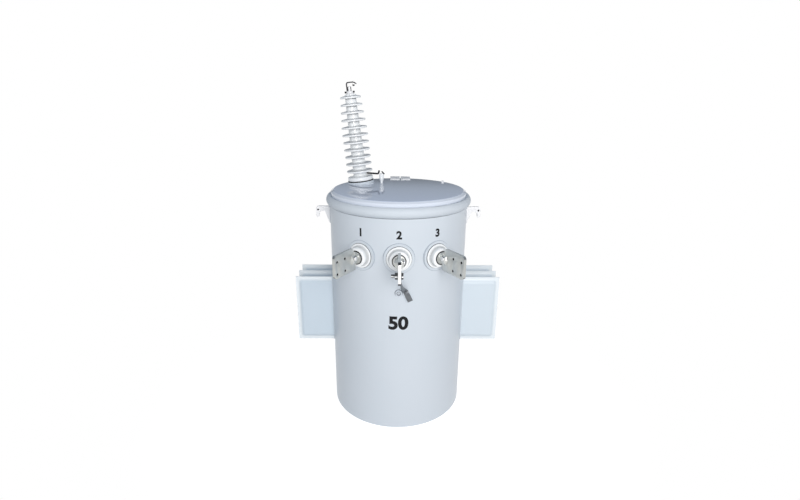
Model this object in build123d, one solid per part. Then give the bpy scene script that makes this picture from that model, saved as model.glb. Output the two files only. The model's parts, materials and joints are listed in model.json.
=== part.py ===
from build123d import *
import math
import os

# Single-phase pole-type distribution transformer, standing on its own tank skirt.
# Frame: the origin is the centre of the skirt's foot, +Z goes up the tank axis, the low-voltage
# bushings face -Y, the pole brackets face +Y and the cooling fins stand out along +X and -X.
# Every length is in millimetres.

# ---- Driving dimensions ----------------------------------------------------------------------
TANK_RADIUS = 275.0          # outside of the tank wall
WALL = 4.0                   # tank sheet
LID_TOP = 927.0              # flat top of the pressed lid
LID_SHEET = 3.0
SEAT_GAP = 0.3               # air between curved faces that bear on each other
SINK = 15.0                  # welded pieces are drawn this far into the wall before trimming
OVERCUT = 1.0                # cutting tools run this far past a face

BOTTOM_RECESS = 12.0         # the bottom plate sits this far up inside the skirt
BOTTOM_PLATE = 6.0

JOINT_DROP = 38.0            # from the lid's top down to the middle of the lid joint
GASKET = 4.0
SHOULDER_INSET = 5.0         # the lid's raised centre is this much narrower than the tank
SHOULDER_RUN = 11.0          # the shoulder slopes this far in from its edge
SHOULDER_FALL = 7.0          # and falls this much on the way out
SHOULDER_CORNER = 3.5
BAND_SHEET = 3.0
BAND_BULGE = 22.0            # outside radius of the clamping band's rolled section
BAND_PROUD = 14.0            # the band stands out this much from the tank wall
BAND_UPPER = 56.0            # degrees: where the rolled section gives way to the curled edge
BAND_LOWER = 64.0            # degrees: where it ends below
BAND_CURL = 5.0              # outside radius of the upper edge, curled in towards the lid
BAND_CURL_TURN = 95.0        # degrees

SPLIT_X = 10.0               # the band's split, at the back of the tank
SPLIT_WIDTH = 5.0
LUG_WIDTH = 42.0             # band closing lugs, along the band
LUG_SHEET = 5.0
LUG_DROP = 20.0              # the lugs' foot, below the middle of the joint
LUG_EAR = 3.0                # thickness of the ear that holds the lid down
LUG_EAR_REACH = 214.0        # from the tank's axis to the ear's free end
LUG_LEG = 26.0               # how far the bolted leg stands out
BAND_BOLT_RISE = 14.0        # the bolt, above the middle of the joint
BAND_BOLT_OUT = 20.0         # the bolt's distance from the band
BAND_BOLT_EDGE = 18.0        # the bolted leg ends this far above and below the bolt
BOLT_CLEARANCE = 0.5
M12_RADIUS = 6.0
M12_HEX = 10.5               # to the corners of the head and the nut
M12_HEAD = 8.0
M12_NUT = 10.0
M12_THREAD = 18.0            # length of the shank beyond the far leg

LV_DROP = 167.0              # the three low-voltage studs, below the lid joint
LV_SPREAD = 30.5             # degrees between the middle bushing and each side one
LV_BOSS_RADIUS = 56.0
LV_BOSS_PROUD = 2.0          # the boss's flat face, from the tank wall
LV_FLANGE_RADIUS = 46.0
LV_FLANGE = 5.0
LV_DOME_RADIUS = 36.0
LV_DOME = 23.0
LV_FLANGE_CORNER = 3.0
LV_DOME_CORNER = 8.0
LV_SHANK_RADIUS = 22.0       # the part that passes through the wall
LV_SHANK = 40.0
STUD_RADIUS = 9.0
STUD_INSIDE = 15.0           # the stud shows this much inside the tank, past the shank
STUD_IN_HUB = 10.0           # and this much inside the terminal's hub
STUD_NUT_RADIUS = 25.0       # to the corners of the hexagon
STUD_NUT = 8.0

PAD_HOLE_SPACING = 44.45     # four-hole terminal pad, 1 3/4 inch square pattern
PAD_HOLE_RADIUS = 7.15
PAD_HOLE_OUT = 87.0          # the hole pattern's middle, from the hub's inner end
PAD_DROP = 4.5               # the pattern's middle, below the stud
PAD_EDGE = 37.0              # from the pattern's middle to the pad's outer edge
PAD_HALF_HEIGHT = 42.0
PAD_SHEET = 10.0
PAD_CORNER = 13.0
PAD_UPPER_START = 20.0       # where the pad's upper edge begins, from the hub's inner end
PAD_LOWER_START = 3.0       # and where its lower edge begins
NECK_KNEE = 9.0             # the upper edge bends here, from the hub's inner end
NECK_KNEE_RISE = 24.0        # and this far above the stud
NECK_HALF_HEIGHT = 15.0      # where the pad meets the stud's nut
HUB_RADIUS = 17.0
HUB = 27.0
HUB_CONE = 4.0               # past the hub, a steep cone runs down to the pad's thickness
HUB_FLAT = 2.0               # depth of the flats under the clamp bolt's head and end
CLAMP_BOLT_OUT = 18.0        # from the hub's inner end
CLAMP_BOLT_RISE = 6.0
CLAMP_BOLT_RADIUS = 4.0
CLAMP_HEAD_RADIUS = 8.0
CLAMP_HEAD = 6.0
CLAMP_HEAD_CORNER = 4.0
CLAMP_BOLT_END = 4.0         # the shank shows this much on the far side

HV_EDGE = 63.0               # from the lid's shoulder in to the high-voltage bushing's middle
HV_AZIMUTH = 140.55          # degrees from +X: back and to the left
HV_LEAN = 6.4                # degrees: the bushing leans outward, to -X
HV_BOSS_RADIUS = 55.0
HV_BOSS_RISE = 9.0           # height of the sloping boss at its centre
HV_GASKET = 3.0
HV_GASKET_HOLE = 25.0
HV_GASKET_LIP = 0.5          # the gasket shows this much around the collar
HV_COLLAR_RADIUS = 53.2
HV_COLLAR = 16.0
HV_COLLAR_CORNER = 5.0
SHED_COUNT = 11
SHED_PITCH = 29.6
SHED_FIRST = 42.6            # rim height of the lowest shed above the boss, along the axis
SHED_RADIUS = 54.0
SHED_TOP_RADIUS = 42.0
SHED_STEP = 2.75             # each of the upper sheds is this much smaller than the one below
SHED_RISE = 8.0              # the shed's top meets the core this far above its rim
SHED_RIM = 3.8               # half thickness of the rounded rim
SHED_UNDERCUT = 0.5          # the underside rises this much from rim to core
CORE_FOOT_RADIUS = 29.0
CORE_TOP_RADIUS = 22.2
CORE_TOP = 350.0
CAP_RADIUS = 18.0
CAP = 13.0
CAP_CORNER = 3.0
POST_RADIUS = 7.5            # terminal post on the cap
POST = 18.0
WIRE_GAP = 13.0              # clear height for the wire, between the post and the hooked strap
HOOK_STRAP = 4.2             # the hooked strap's thickness
HOOK_STRAP_WIDTH = 14.0
HOOK_STRAP_REACH = 30.0
HOOK_STRAP_BEND = 6.0
WIRE_SCREW_AT = 18.0         # the screw's distance from the post's axis
WIRE_SCREW_RADIUS = 3.0
WIRE_SCREW_HEAD_RADIUS = 5.0
WIRE_SCREW_HEAD = 6.0
WIRE_SCREW_NECK = 7.0        # bare shank between the strap and the head
WIRE_SCREW_END = 2.0

ARM_RADIUS = 3.6             # bent rod of the arcing gap
ARM_START = 43.0             # height of the rod above the lid, at the bushing's neck
ARM_KNEE = 38.0              # and at the bend near the post
ARM_SHORT = 13.0             # the bend stops this far from the post's axis
ARM_BEND = 6.0
ARM_TIP = 52.0               # height of the upturned tip above the lid
ARM_TIP_OUT = 3.0            # the upturned tip leans this much toward the post
GAP_POST_OUT = 88.0          # porcelain post of the arcing gap, to the bushing's right
GAP_POST_BACK = 2.5          # and this much behind it
GAP_POST_RADIUS = 10.0
GAP_POST_FOOT = 5.5          # radius of the narrow foot
GAP_POST_FOOT_RISE = 5.0
GAP_POST_SWELL = 18.0        # the body is full width from this height
GAP_POST = 39.0              # height of the post
GAP_POST_INSET = 3.0         # its top edge slopes in this much
GAP_POST_SLOPE = 4.0         # over this height
ELECTRODE_RADIUS = 2.6
ELECTRODE = 16.0
ELECTRODE_LEAN = 45.0        # degrees
ELECTRODE_OUT = 6.3          # its middle, from the post's axis and above the post's top
ELECTRODE_UP = 3.5

PLUG_EDGE = 22.0             # vent plug, from the lid's shoulder in to its middle
PLUG_AZIMUTH = 39.27         # degrees from +X
PLUG_RADIUS = 7.0
PLUG = 6.0

HOOK_DROP = 35.0             # the lifting lugs' top, below the lid joint
HOOK_SHEET = 12.0
HOOK_REACH = 59.0            # the lug's measures out from the tank wall
HOOK_HOLE_OUT = 50.8
HOOK_TIP_OUT = 53.0
HOOK_THROAT_OUT = 46.0       # inner side of the hanging tip
HOOK_FLAT_START = 23.0       # the throat's flat top
HOOK_FLAT_END = 38.0
GUSSET_KNEE_OUT = 18.0       # the gusset's free edge runs down to the wall
GUSSET_END_OUT = 6.0
HOOK_HOLE_DOWN = 15.0        # the lug's measures down from its top
HOOK_FLAT_DOWN = 20.0
HOOK_SHOULDER_DOWN = 28.0
GUSSET_KNEE_DOWN = 36.0
HOOK_SIDE_DOWN = 40.0        # both sides of the hanging tip end here
HOOK_TIP_DOWN = 46.0
GUSSET_END_DOWN = 68.0
GUSSET_FOOT_DOWN = 70.0
HOOK_CORNER = 12.0
HOOK_HOLE_RADIUS = 3.6

FIN_COUNT = 3                # on each side
FIN_FIRST = -41.0            # middle plane of the front fin, along Y
FIN_PITCH = 73.0
FIN_REACH = 150.0            # from the tank wall
FIN_FOOT = 276.0
FIN_HEIGHT = 287.0
FIN_SEAM = 3.0               # thickness of the pressed seam around a fin
FIN_BULGE = 8.0              # how far each face swells from the seam
FIN_BORDER = 12.0            # width of the seam at the top and the outer edge
FIN_FOOT_BORDER = 16.0
FIN_CORNER = 10.0
FIN_SLOPE = 40.0             # degrees, of the swelling's sides

GROUND_DROP = 132.5          # ground boss, below the low-voltage studs
GROUND_BOSS_RADIUS = 12.5
GROUND_BOSS_PROUD = 8.0
GROUND_HOLE_RADIUS = 8.0
GROUND_HOLE = 6.0
STRAP_WIDTH = 20.0
STRAP_SHEET = 2.0
STRAP_BOLT_RADIUS = 6.5
STRAP_NUT_RADIUS = 12.0
STRAP_NUT = 7.0
STRAP_HEAD = 10.0
STRAP_BOLT_END = 28.0        # how far the bolt reaches from the pad's middle, head side
STRAP_ABOVE = 14.0           # the flat upper end, above its bolt
STRAP_BELOW = 22.0           # and below it
STRAP_TURN_X = 13.0          # middle line at the start of the twist
STRAP_TURN_RUN = 26.0        # measured from the bolt toward the wall
STRAP_TURN_DROP = 52.0       # and down from it
STRAP_KNEE_X = 21.0          # middle line at the end of the twist
STRAP_KNEE_RUN = 64.0
STRAP_KNEE_DROP = 81.0
STRAP_FOOT_X = 35.0          # the strap's lower end, on a welded pad
STRAP_FOOT_DROP = 145.0      # below the low-voltage studs
STRAP_FOOT_HALF = 20.0
STRAP_SLANT = 24.6           # degrees: the foot leans away from upright
GROUND_PAD_PROUD = 4.0
GROUND_PAD_MARGIN = 3.0      # the pad shows this much beyond the strap on one side
GROUND_PAD_HALF = 22.0
GROUND_PAD_CORNER = 4.0

HANGER_SPACING = 590.55      # between the pole brackets' middles, 23 1/4 inches
HANGER_SHIFT = 10.775         # their middle is this far above the tank's half height
HANGER_WIDTH = 100.0
HANGER_HEIGHT = 130.0
HANGER_SHEET = 8.0
HANGER_OUT = 75.0            # outer face of the bracket, from the tank wall
SLOT_WIDTH = 21.0
SLOT_LENGTH = 50.0

os.makedirs("parts", exist_ok=True)


# ---- Helpers ---------------------------------------------------------------------------------
def save(name, shape):
    """Write one piece to its own STEP file."""
    solids = shape.solids()
    volume = sum(solid.volume for solid in solids)
    print(f"{name:22s} solids {len(solids)}  volume {volume / 1000:10.2f} cm3")
    export_step(solids[0] if len(solids) == 1 else Compound(solids), f"parts/{name}.step")


def drum(radius, low, high):
    """A round bar on the Z axis between two heights."""
    return Pos(0, 0, (low + high) / 2) * Cylinder(radius, high - low)


def ring(outer, inner, low, high):
    """A round ring on the Z axis between two heights."""
    return drum(outer, low, high) - drum(inner, low - OVERCUT, high + OVERCUT)


def hexagon(corner_radius, low, high):
    """A hexagon bar on the Z axis between two heights."""
    return Pos(0, 0, low) * extrude(RegularPolygon(corner_radius, 6), high - low)


def block(x, y, z):
    """A box from three (low, high) pairs."""
    middle = [(low + high) / 2 for low, high in (x, y, z)]
    size = [high - low for low, high in (x, y, z)]
    return Pos(*middle) * Box(*size)


def turned(points):
    """A solid turned about the Z axis from a closed outline of (radius, height) points."""
    return revolve(Plane.XZ * make_face(Polyline(*points, close=True)), Axis.Z)


def clear_of_tank(shape):
    """Trim a piece so that it stops short of the tank wall by the seat gap."""
    return shape - drum(TANK_RADIUS + SEAT_GAP, -OVERCUT, JOINT_LEVEL)


def rounded_top(shape, radius):
    """Round the highest edges of a piece that still stands along Z."""
    return fillet(shape.edges().group_by(Axis.Z)[-1], radius)


def stud_frame(azimuth):
    """Frame of a low-voltage stud: local z is the distance from the tank axis, local y is up."""
    return Rot(0, 0, azimuth) * Location((0, 0, LV_LEVEL), (90, 0, 0))


# ---- Tank, lid and clamping band ----------------------------------------------------------------
JOINT_LEVEL = LID_TOP - JOINT_DROP
SHOULDER_RADIUS = TANK_RADIUS - SHOULDER_INSET
BAND_RADIUS = TANK_RADIUS + BAND_PROUD
LV_BOSS_FACE = TANK_RADIUS + LV_BOSS_PROUD
LV_LEVEL = JOINT_LEVEL - LV_DROP
RIM_STACK = WALL + GASKET + LID_SHEET
RIM_FOOT = JOINT_LEVEL - RIM_STACK / 2
GASKET_FOOT = RIM_FOOT + WALL
LID_FOOT = GASKET_FOOT + GASKET
LID_FLANGE_TOP = LID_FOOT + LID_SHEET
BAND_CENTRE = BAND_RADIUS - BAND_BULGE
BAND_INSIDE = BAND_BULGE - BAND_SHEET
BAND_OUTSIDE = BAND_RADIUS + SEAT_GAP
LUG_TOP = LID_TOP + LUG_EAR
LUG_FOOT = JOINT_LEVEL - LUG_DROP
BAND_BOLT_LEVEL = JOINT_LEVEL + BAND_BOLT_RISE
RIM_RADIUS = BAND_CENTRE + math.sqrt((BAND_INSIDE - SEAT_GAP) ** 2 - (RIM_STACK / 2) ** 2)
LV_AZIMUTHS = {"left": -LV_SPREAD, "middle": 0.0, "right": LV_SPREAD}


def tank_wall():
    """Rolled wall with its out-turned rim and three flat-faced bosses for the bushings."""
    body = drum(TANK_RADIUS, 0, GASKET_FOOT)
    body += drum(RIM_RADIUS, RIM_FOOT, GASKET_FOOT)
    for azimuth in LV_AZIMUTHS.values():
        body += stud_frame(azimuth) * drum(LV_BOSS_RADIUS, TANK_RADIUS - 2 * SINK, LV_BOSS_FACE)
    body -= drum(TANK_RADIUS - WALL, -OVERCUT, GASKET_FOOT + OVERCUT)
    hole = drum(LV_SHANK_RADIUS + SEAT_GAP, TANK_RADIUS - 2 * SINK, LV_BOSS_FACE + OVERCUT)
    for azimuth in LV_AZIMUTHS.values():
        body -= stud_frame(azimuth) * hole
    return body


def tank_bottom():
    return drum(TANK_RADIUS - WALL - SEAT_GAP, BOTTOM_RECESS, BOTTOM_RECESS + BOTTOM_PLATE)


def lid_gasket():
    return ring(RIM_RADIUS, TANK_RADIUS - WALL, GASKET_FOOT, LID_FOOT)


def lid():
    """Pressed lid: a flat raised centre, a sloping shoulder and a flat rim on the gasket."""
    low = LID_TOP - SHOULDER_FALL
    inner = SHOULDER_RADIUS - LID_SHEET
    flat = SHOULDER_RADIUS - SHOULDER_RUN
    shell = turned([(0, LID_FOOT), (SHOULDER_RADIUS, LID_FOOT), (SHOULDER_RADIUS, low),
                    (flat, LID_TOP), (0, LID_TOP)])
    shell = fillet(shell.edges().group_by(Axis.Z)[-2:], SHOULDER_CORNER)
    shell += drum(RIM_RADIUS, LID_FOOT, LID_FLANGE_TOP)
    return shell - turned([(0, LID_FOOT - OVERCUT), (inner, LID_FOOT - OVERCUT), (inner, low - LID_SHEET),
                           (flat - LID_SHEET, LID_TOP - LID_SHEET), (0, LID_TOP - LID_SHEET)])


def cover_band():
    """Rolled section clamping the lid to the tank rim, its upper edge curled in; split at the back."""
    centre = (BAND_CENTRE, JOINT_LEVEL)
    turn = math.radians(BAND_UPPER)
    to_curl = BAND_BULGE - BAND_CURL
    curl = (BAND_CENTRE + to_curl * math.cos(turn), JOINT_LEVEL + to_curl * math.sin(turn))
    outer = [CenterArc(centre, BAND_BULGE, -BAND_LOWER, BAND_LOWER + BAND_UPPER),
             CenterArc(curl, BAND_CURL, BAND_UPPER, BAND_CURL_TURN)]
    inner = [CenterArc(centre, BAND_INSIDE, -BAND_LOWER, BAND_LOWER + BAND_UPPER),
             CenterArc(curl, BAND_CURL - BAND_SHEET, BAND_UPPER, BAND_CURL_TURN)]
    ends = [Line(outer[0] @ 0, inner[0] @ 0), Line(outer[1] @ 1, inner[1] @ 1)]
    section = make_face(outer + inner + ends)
    band = revolve(Plane.XZ * section, Axis.Z)
    half = SPLIT_WIDTH / 2
    height = (JOINT_LEVEL - BAND_BULGE - OVERCUT, JOINT_LEVEL + BAND_BULGE + OVERCUT)
    return band - block((SPLIT_X - half, SPLIT_X + half), (0, BAND_OUTSIDE), height)


BAND_LEG = SPLIT_WIDTH / 2 + LUG_SHEET
BAND_BOLT_FRAME = Location((SPLIT_X, BAND_OUTSIDE + BAND_BOLT_OUT, BAND_BOLT_LEVEL), (0, 90, 0))


def band_lug(side):
    """Closing lug on one end of the band: a curved foot, a bolted leg and an ear on the lid."""
    near = SPLIT_X + side * SPLIT_WIDTH / 2
    far = near + side * LUG_WIDTH
    leg = near + side * LUG_SHEET
    foot = ring(BAND_OUTSIDE + LUG_SHEET, BAND_OUTSIDE, LUG_FOOT, LUG_TOP)
    foot &= block(sorted((near, far)), (0, BAND_OUTSIDE + LUG_SHEET), (LUG_FOOT, LUG_TOP))
    reach = (BAND_OUTSIDE + LUG_SHEET / 2, BAND_OUTSIDE + LUG_LEG + LUG_SHEET)
    height = (BAND_BOLT_LEVEL - BAND_BOLT_EDGE, BAND_BOLT_LEVEL + BAND_BOLT_EDGE)
    plate = block(sorted((near, leg)), reach, height)
    ear = block(sorted((near, far)), (LUG_EAR_REACH, BAND_OUTSIDE + LUG_SHEET), (LID_TOP, LUG_TOP))
    ear &= drum(BAND_OUTSIDE + LUG_SHEET, LID_TOP, LUG_TOP)
    bore = drum(M12_RADIUS + BOLT_CLEARANCE, -BAND_LEG - OVERCUT, BAND_LEG + OVERCUT)
    return foot + plate + ear - BAND_BOLT_FRAME * bore


def band_bolt():
    """Hexagon bolt through both closing lugs."""
    shape = hexagon(M12_HEX, -BAND_LEG - M12_HEAD, -BAND_LEG)
    return BAND_BOLT_FRAME * (shape + drum(M12_RADIUS, -BAND_LEG, BAND_LEG + M12_THREAD))


def band_nut():
    """Nut on the bolt's far end, bearing on the second lug."""
    shape = hexagon(M12_HEX, BAND_LEG, BAND_LEG + M12_NUT)
    bore = drum(M12_RADIUS + SEAT_GAP, BAND_LEG - OVERCUT, BAND_LEG + M12_NUT + OVERCUT)
    return BAND_BOLT_FRAME * (shape - bore)


def on_lid(azimuth, edge):
    """A place on the lid: its angle from +X and its distance in from the shoulder."""
    reach = SHOULDER_RADIUS - edge
    return reach * math.cos(math.radians(azimuth)), reach * math.sin(math.radians(azimuth))


def lid_plug():
    """Hexagon vent plug near the lid's edge."""
    return Pos(*on_lid(PLUG_AZIMUTH, PLUG_EDGE), 0) * hexagon(PLUG_RADIUS, LID_TOP, LID_TOP + PLUG)


# ---- High-voltage bushing ------------------------------------------------------------------------
HV_X, HV_Y = on_lid(HV_AZIMUTH, HV_EDGE)
HV_FRAME = Location((HV_X, HV_Y, LID_TOP + HV_BOSS_RISE), (0, -HV_LEAN, 0))
COLLAR_TOP = HV_GASKET + HV_COLLAR
CAP_TOP = CORE_TOP + CAP
STRAP_UNDERSIDE = CAP_TOP + POST + WIRE_GAP


def core_radius(height):
    """The porcelain core tapers evenly from its foot to its top."""
    share = (height - COLLAR_TOP) / (CORE_TOP - COLLAR_TOP)
    return CORE_FOOT_RADIUS + share * (CORE_TOP_RADIUS - CORE_FOOT_RADIUS)


def hv_boss():
    """Welded boss with a sloping top, so that the bushing leans outward."""
    body = Pos(HV_X, HV_Y, 0) * drum(HV_BOSS_RADIUS, LID_TOP, LID_TOP + 3 * HV_BOSS_RISE)
    reach = (-2 * HV_BOSS_RADIUS, 2 * HV_BOSS_RADIUS)
    return body - HV_FRAME * block(reach, reach, (0, 4 * HV_BOSS_RISE))


def hv_gasket():
    return HV_FRAME * ring(HV_COLLAR_RADIUS + HV_GASKET_LIP, HV_GASKET_HOLE, 0, HV_GASKET)


def shed(index):
    """One umbrella-shaped shed with a sloping top, a rounded rim and a nearly flat underside."""
    rim = min(SHED_RADIUS, SHED_TOP_RADIUS + SHED_STEP * (SHED_COUNT - 1 - index))
    level = SHED_FIRST + index * SHED_PITCH
    core = core_radius(level)
    top = (rim - SHED_RIM, level + SHED_RIM)
    under = (rim - SHED_RIM, level - SHED_RIM)
    root = (core, level + SHED_RISE)
    foot = (core, level - SHED_RIM + SHED_UNDERCUT)
    axis_top = (0, root[1])
    axis_foot = (0, foot[1])
    edge = ThreePointArc(top, (rim, level), under)
    outline = [Line(axis_top, root), Line(root, top), edge, Line(under, foot),
               Line(foot, axis_foot), Line(axis_foot, axis_top)]
    return revolve(Plane.XZ * make_face(outline), Axis.Z)


def hv_bushing():
    """Porcelain bushing: collar, tapered core and its sheds."""
    body = rounded_top(drum(HV_COLLAR_RADIUS, HV_GASKET, COLLAR_TOP), HV_COLLAR_CORNER)
    body += turned([(0, HV_GASKET), (CORE_FOOT_RADIUS, HV_GASKET), (CORE_FOOT_RADIUS, COLLAR_TOP),
                    (CORE_TOP_RADIUS, CORE_TOP), (0, CORE_TOP)])
    for index in range(SHED_COUNT):
        body += shed(index)
    return HV_FRAME * body


def hv_cap():
    """Metal cap and terminal post on top of the porcelain."""
    cap = rounded_top(drum(CAP_RADIUS, CORE_TOP, CAP_TOP), CAP_CORNER)
    return HV_FRAME * (cap + drum(POST_RADIUS, CORE_TOP, CAP_TOP + POST))


def hv_wire_clamp():
    """Hooked strap that stands beside the post and reaches over it to hold the wire."""
    outside = -POST_RADIUS - SEAT_GAP - HOOK_STRAP
    top = STRAP_UNDERSIDE + HOOK_STRAP
    width = (-HOOK_STRAP_WIDTH / 2, HOOK_STRAP_WIDTH / 2)
    strap = block((outside, outside + HOOK_STRAP), width, (CAP_TOP, top))
    strap += block((outside, HOOK_STRAP_REACH), width, (STRAP_UNDERSIDE, top))
    corner = strap.edges().filter_by(Axis.Y).group_by(Axis.X)[0].group_by(Axis.Z)[-1]
    strap = fillet(corner, HOOK_STRAP_BEND)
    hole = drum(WIRE_SCREW_RADIUS + SEAT_GAP, STRAP_UNDERSIDE - OVERCUT, top + OVERCUT)
    return HV_FRAME * (strap - Pos(WIRE_SCREW_AT, 0, 0) * hole)


def hv_clamp_screw():
    """Screw through the free end of the hooked strap, its head below."""
    end = STRAP_UNDERSIDE + HOOK_STRAP + WIRE_SCREW_END
    head = STRAP_UNDERSIDE - WIRE_SCREW_NECK
    body = drum(WIRE_SCREW_HEAD_RADIUS, head - WIRE_SCREW_HEAD, head)
    return HV_FRAME * Pos(WIRE_SCREW_AT, 0, 0) * (body + drum(WIRE_SCREW_RADIUS, head, end))


# ---- Arcing gap beside the bushing --------------------------------------------------------------
POST_X = HV_X + GAP_POST_OUT
POST_Y = HV_Y + GAP_POST_BACK
GAP_POST_TOP = LID_TOP + GAP_POST


def gap_arm():
    """Bent rod from the bushing's neck towards the post, with an upturned tip."""
    bend_x = POST_X - ARM_SHORT
    start = (HV_X, POST_Y, LID_TOP + ARM_START)
    knee = (bend_x, POST_Y, LID_TOP + ARM_KNEE)
    tip = (bend_x + ARM_TIP_OUT, POST_Y, LID_TOP + ARM_TIP)
    path = FilletPolyline(start, knee, tip, radius=ARM_BEND)
    rod = sweep(Plane(origin=start, z_dir=path % 0) * Circle(ARM_RADIUS), path)
    return rod - HV_FRAME * drum(CORE_FOOT_RADIUS + SEAT_GAP, 0, SHED_FIRST + SHED_PITCH)


def gap_post():
    """Porcelain post: a narrow foot, a swelling body and a flat top."""
    body = turned([(0, LID_TOP), (GAP_POST_FOOT, LID_TOP),
                   (GAP_POST_FOOT, LID_TOP + GAP_POST_FOOT_RISE),
                   (GAP_POST_RADIUS, LID_TOP + GAP_POST_SWELL),
                   (GAP_POST_RADIUS, GAP_POST_TOP - GAP_POST_SLOPE),
                   (GAP_POST_RADIUS - GAP_POST_INSET, GAP_POST_TOP), (0, GAP_POST_TOP)])
    return Pos(POST_X, POST_Y, 0) * body - electrode(ELECTRODE_RADIUS + SEAT_GAP)


def electrode(radius):
    """Slanting rod through the post's top corner, pointing at the arm's tip."""
    middle = (POST_X + ELECTRODE_OUT, POST_Y, GAP_POST_TOP + ELECTRODE_UP)
    return Location(middle, (0, -ELECTRODE_LEAN, 0)) * Cylinder(radius, ELECTRODE)


# ---- Low-voltage bushings and terminals -----------------------------------------------------------
DOME_FACE = LV_BOSS_FACE + LV_FLANGE + LV_DOME
HUB_START = DOME_FACE + STUD_NUT
SHANK_END = LV_BOSS_FACE - LV_SHANK
PAD_HOLE_CENTRE = HUB_START + PAD_HOLE_OUT
PAD_END = PAD_HOLE_CENTRE + PAD_EDGE
CLAMP_SEAT = HUB_RADIUS - HUB_FLAT


def lv_bushing(azimuth):
    """Low porcelain bushing: shank through the wall, flange on the boss and a rounded dome."""
    flange = drum(LV_FLANGE_RADIUS, LV_BOSS_FACE, LV_BOSS_FACE + LV_FLANGE)
    dome = drum(LV_DOME_RADIUS, LV_BOSS_FACE, DOME_FACE)
    body = rounded_top(flange, LV_FLANGE_CORNER) + rounded_top(dome, LV_DOME_CORNER)
    body += drum(LV_SHANK_RADIUS, SHANK_END, LV_BOSS_FACE + LV_FLANGE)
    bore = drum(STUD_RADIUS + SEAT_GAP, SHANK_END - OVERCUT, DOME_FACE + OVERCUT)
    return stud_frame(azimuth) * (body - bore)


def lv_stud(azimuth):
    """Threaded stud with its hexagon nut on the porcelain."""
    body = drum(STUD_RADIUS, SHANK_END - STUD_INSIDE, HUB_START + STUD_IN_HUB)
    return stud_frame(azimuth) * (body + hexagon(STUD_NUT_RADIUS, DOME_FACE, HUB_START))


def lv_terminal(azimuth):
    """Clamp-on terminal: a hub on the stud and an upright four-hole pad."""
    low = -PAD_HALF_HEIGHT
    high = PAD_HALF_HEIGHT
    outline = Polyline((PAD_END, low), (PAD_END, high), (HUB_START + PAD_UPPER_START, high),
                       (HUB_START + NECK_KNEE, NECK_KNEE_RISE), (HUB_START, NECK_HALF_HEIGHT),
                       (HUB_START, -NECK_HALF_HEIGHT), (HUB_START + PAD_LOWER_START, low), close=True)
    face = make_face(outline)
    face = fillet(face.vertices().group_by(Axis.X)[-1], PAD_CORNER)
    for along in (-0.5, 0.5):
        for up in (-0.5, 0.5):
            x = PAD_HOLE_CENTRE + along * PAD_HOLE_SPACING
            face -= Pos(x, up * PAD_HOLE_SPACING - PAD_DROP) * Circle(PAD_HOLE_RADIUS)
    upright = Plane(origin=(0, 0, 0), x_dir=(0, 0, 1), z_dir=(-1, 0, 0))
    plate = extrude(upright * face, PAD_SHEET / 2, both=True)
    body = plate + drum(HUB_RADIUS, HUB_START, HUB_START + HUB)
    body += Pos(0, 0, HUB_START + HUB + HUB_CONE / 2) * Cone(HUB_RADIUS, PAD_SHEET / 2, HUB_CONE)
    body -= drum(STUD_RADIUS + SEAT_GAP, HUB_START - OVERCUT, HUB_START + STUD_IN_HUB + OVERCUT)
    cross = Location((0, CLAMP_BOLT_RISE, HUB_START + CLAMP_BOLT_OUT), (0, 90, 0))
    body -= cross * drum(CLAMP_BOLT_RADIUS + SEAT_GAP, -HUB_RADIUS, HUB_RADIUS)
    for side in (-1, 1):
        flat = sorted((side * CLAMP_SEAT, side * (HUB_RADIUS + OVERCUT)))
        body -= cross * drum(CLAMP_HEAD_RADIUS + BOLT_CLEARANCE, *flat)
    return stud_frame(azimuth) * body


def lv_clamp_bolt(azimuth, side):
    """Domed bolt that pinches the hub on the stud; side is where its head is."""
    head = drum(CLAMP_HEAD_RADIUS, CLAMP_SEAT, CLAMP_SEAT + CLAMP_HEAD)
    body = rounded_top(head, CLAMP_HEAD_CORNER)
    body += drum(CLAMP_BOLT_RADIUS, -CLAMP_SEAT - CLAMP_BOLT_END, CLAMP_SEAT)
    cross = Location((0, CLAMP_BOLT_RISE, HUB_START + CLAMP_BOLT_OUT), (0, 90 * side, 0))
    return stud_frame(azimuth) * cross * body


# ---- Lifting lugs, fins, grounding and pole brackets ----------------------------------------------
def lifting_lug(side):
    """Hooked plate: a flat top, a hanging tip around the sling's place and a long welded gusset."""
    top = JOINT_LEVEL - HOOK_DROP
    edge = [(-SINK, 0), (HOOK_REACH, 0), (HOOK_REACH, HOOK_SIDE_DOWN), (HOOK_TIP_OUT, HOOK_TIP_DOWN),
            (HOOK_THROAT_OUT, HOOK_SIDE_DOWN), (HOOK_THROAT_OUT, HOOK_SHOULDER_DOWN),
            (HOOK_FLAT_END, HOOK_FLAT_DOWN), (HOOK_FLAT_START, HOOK_FLAT_DOWN),
            (GUSSET_KNEE_OUT, GUSSET_KNEE_DOWN), (GUSSET_END_OUT, GUSSET_END_DOWN),
            (-SINK, GUSSET_FOOT_DOWN)]
    points = [(TANK_RADIUS + out, top - down) for out, down in edge]
    face = make_face(Polyline(*points, close=True))
    corner = face.vertices().group_by(Axis.X)[-1].sort_by(Axis.Y)[-1]
    face = fillet(corner, HOOK_CORNER)
    face -= Pos(TANK_RADIUS + HOOK_HOLE_OUT, top - HOOK_HOLE_DOWN) * Circle(HOOK_HOLE_RADIUS)
    plate = extrude(Plane.XZ * face, HOOK_SHEET / 2, both=True)
    plate = clear_of_tank(plate)
    return plate if side > 0 else mirror(plate, Plane.YZ)


FIN_TOP = FIN_FOOT + FIN_HEIGHT
FIN_END = TANK_RADIUS + FIN_REACH


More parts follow.
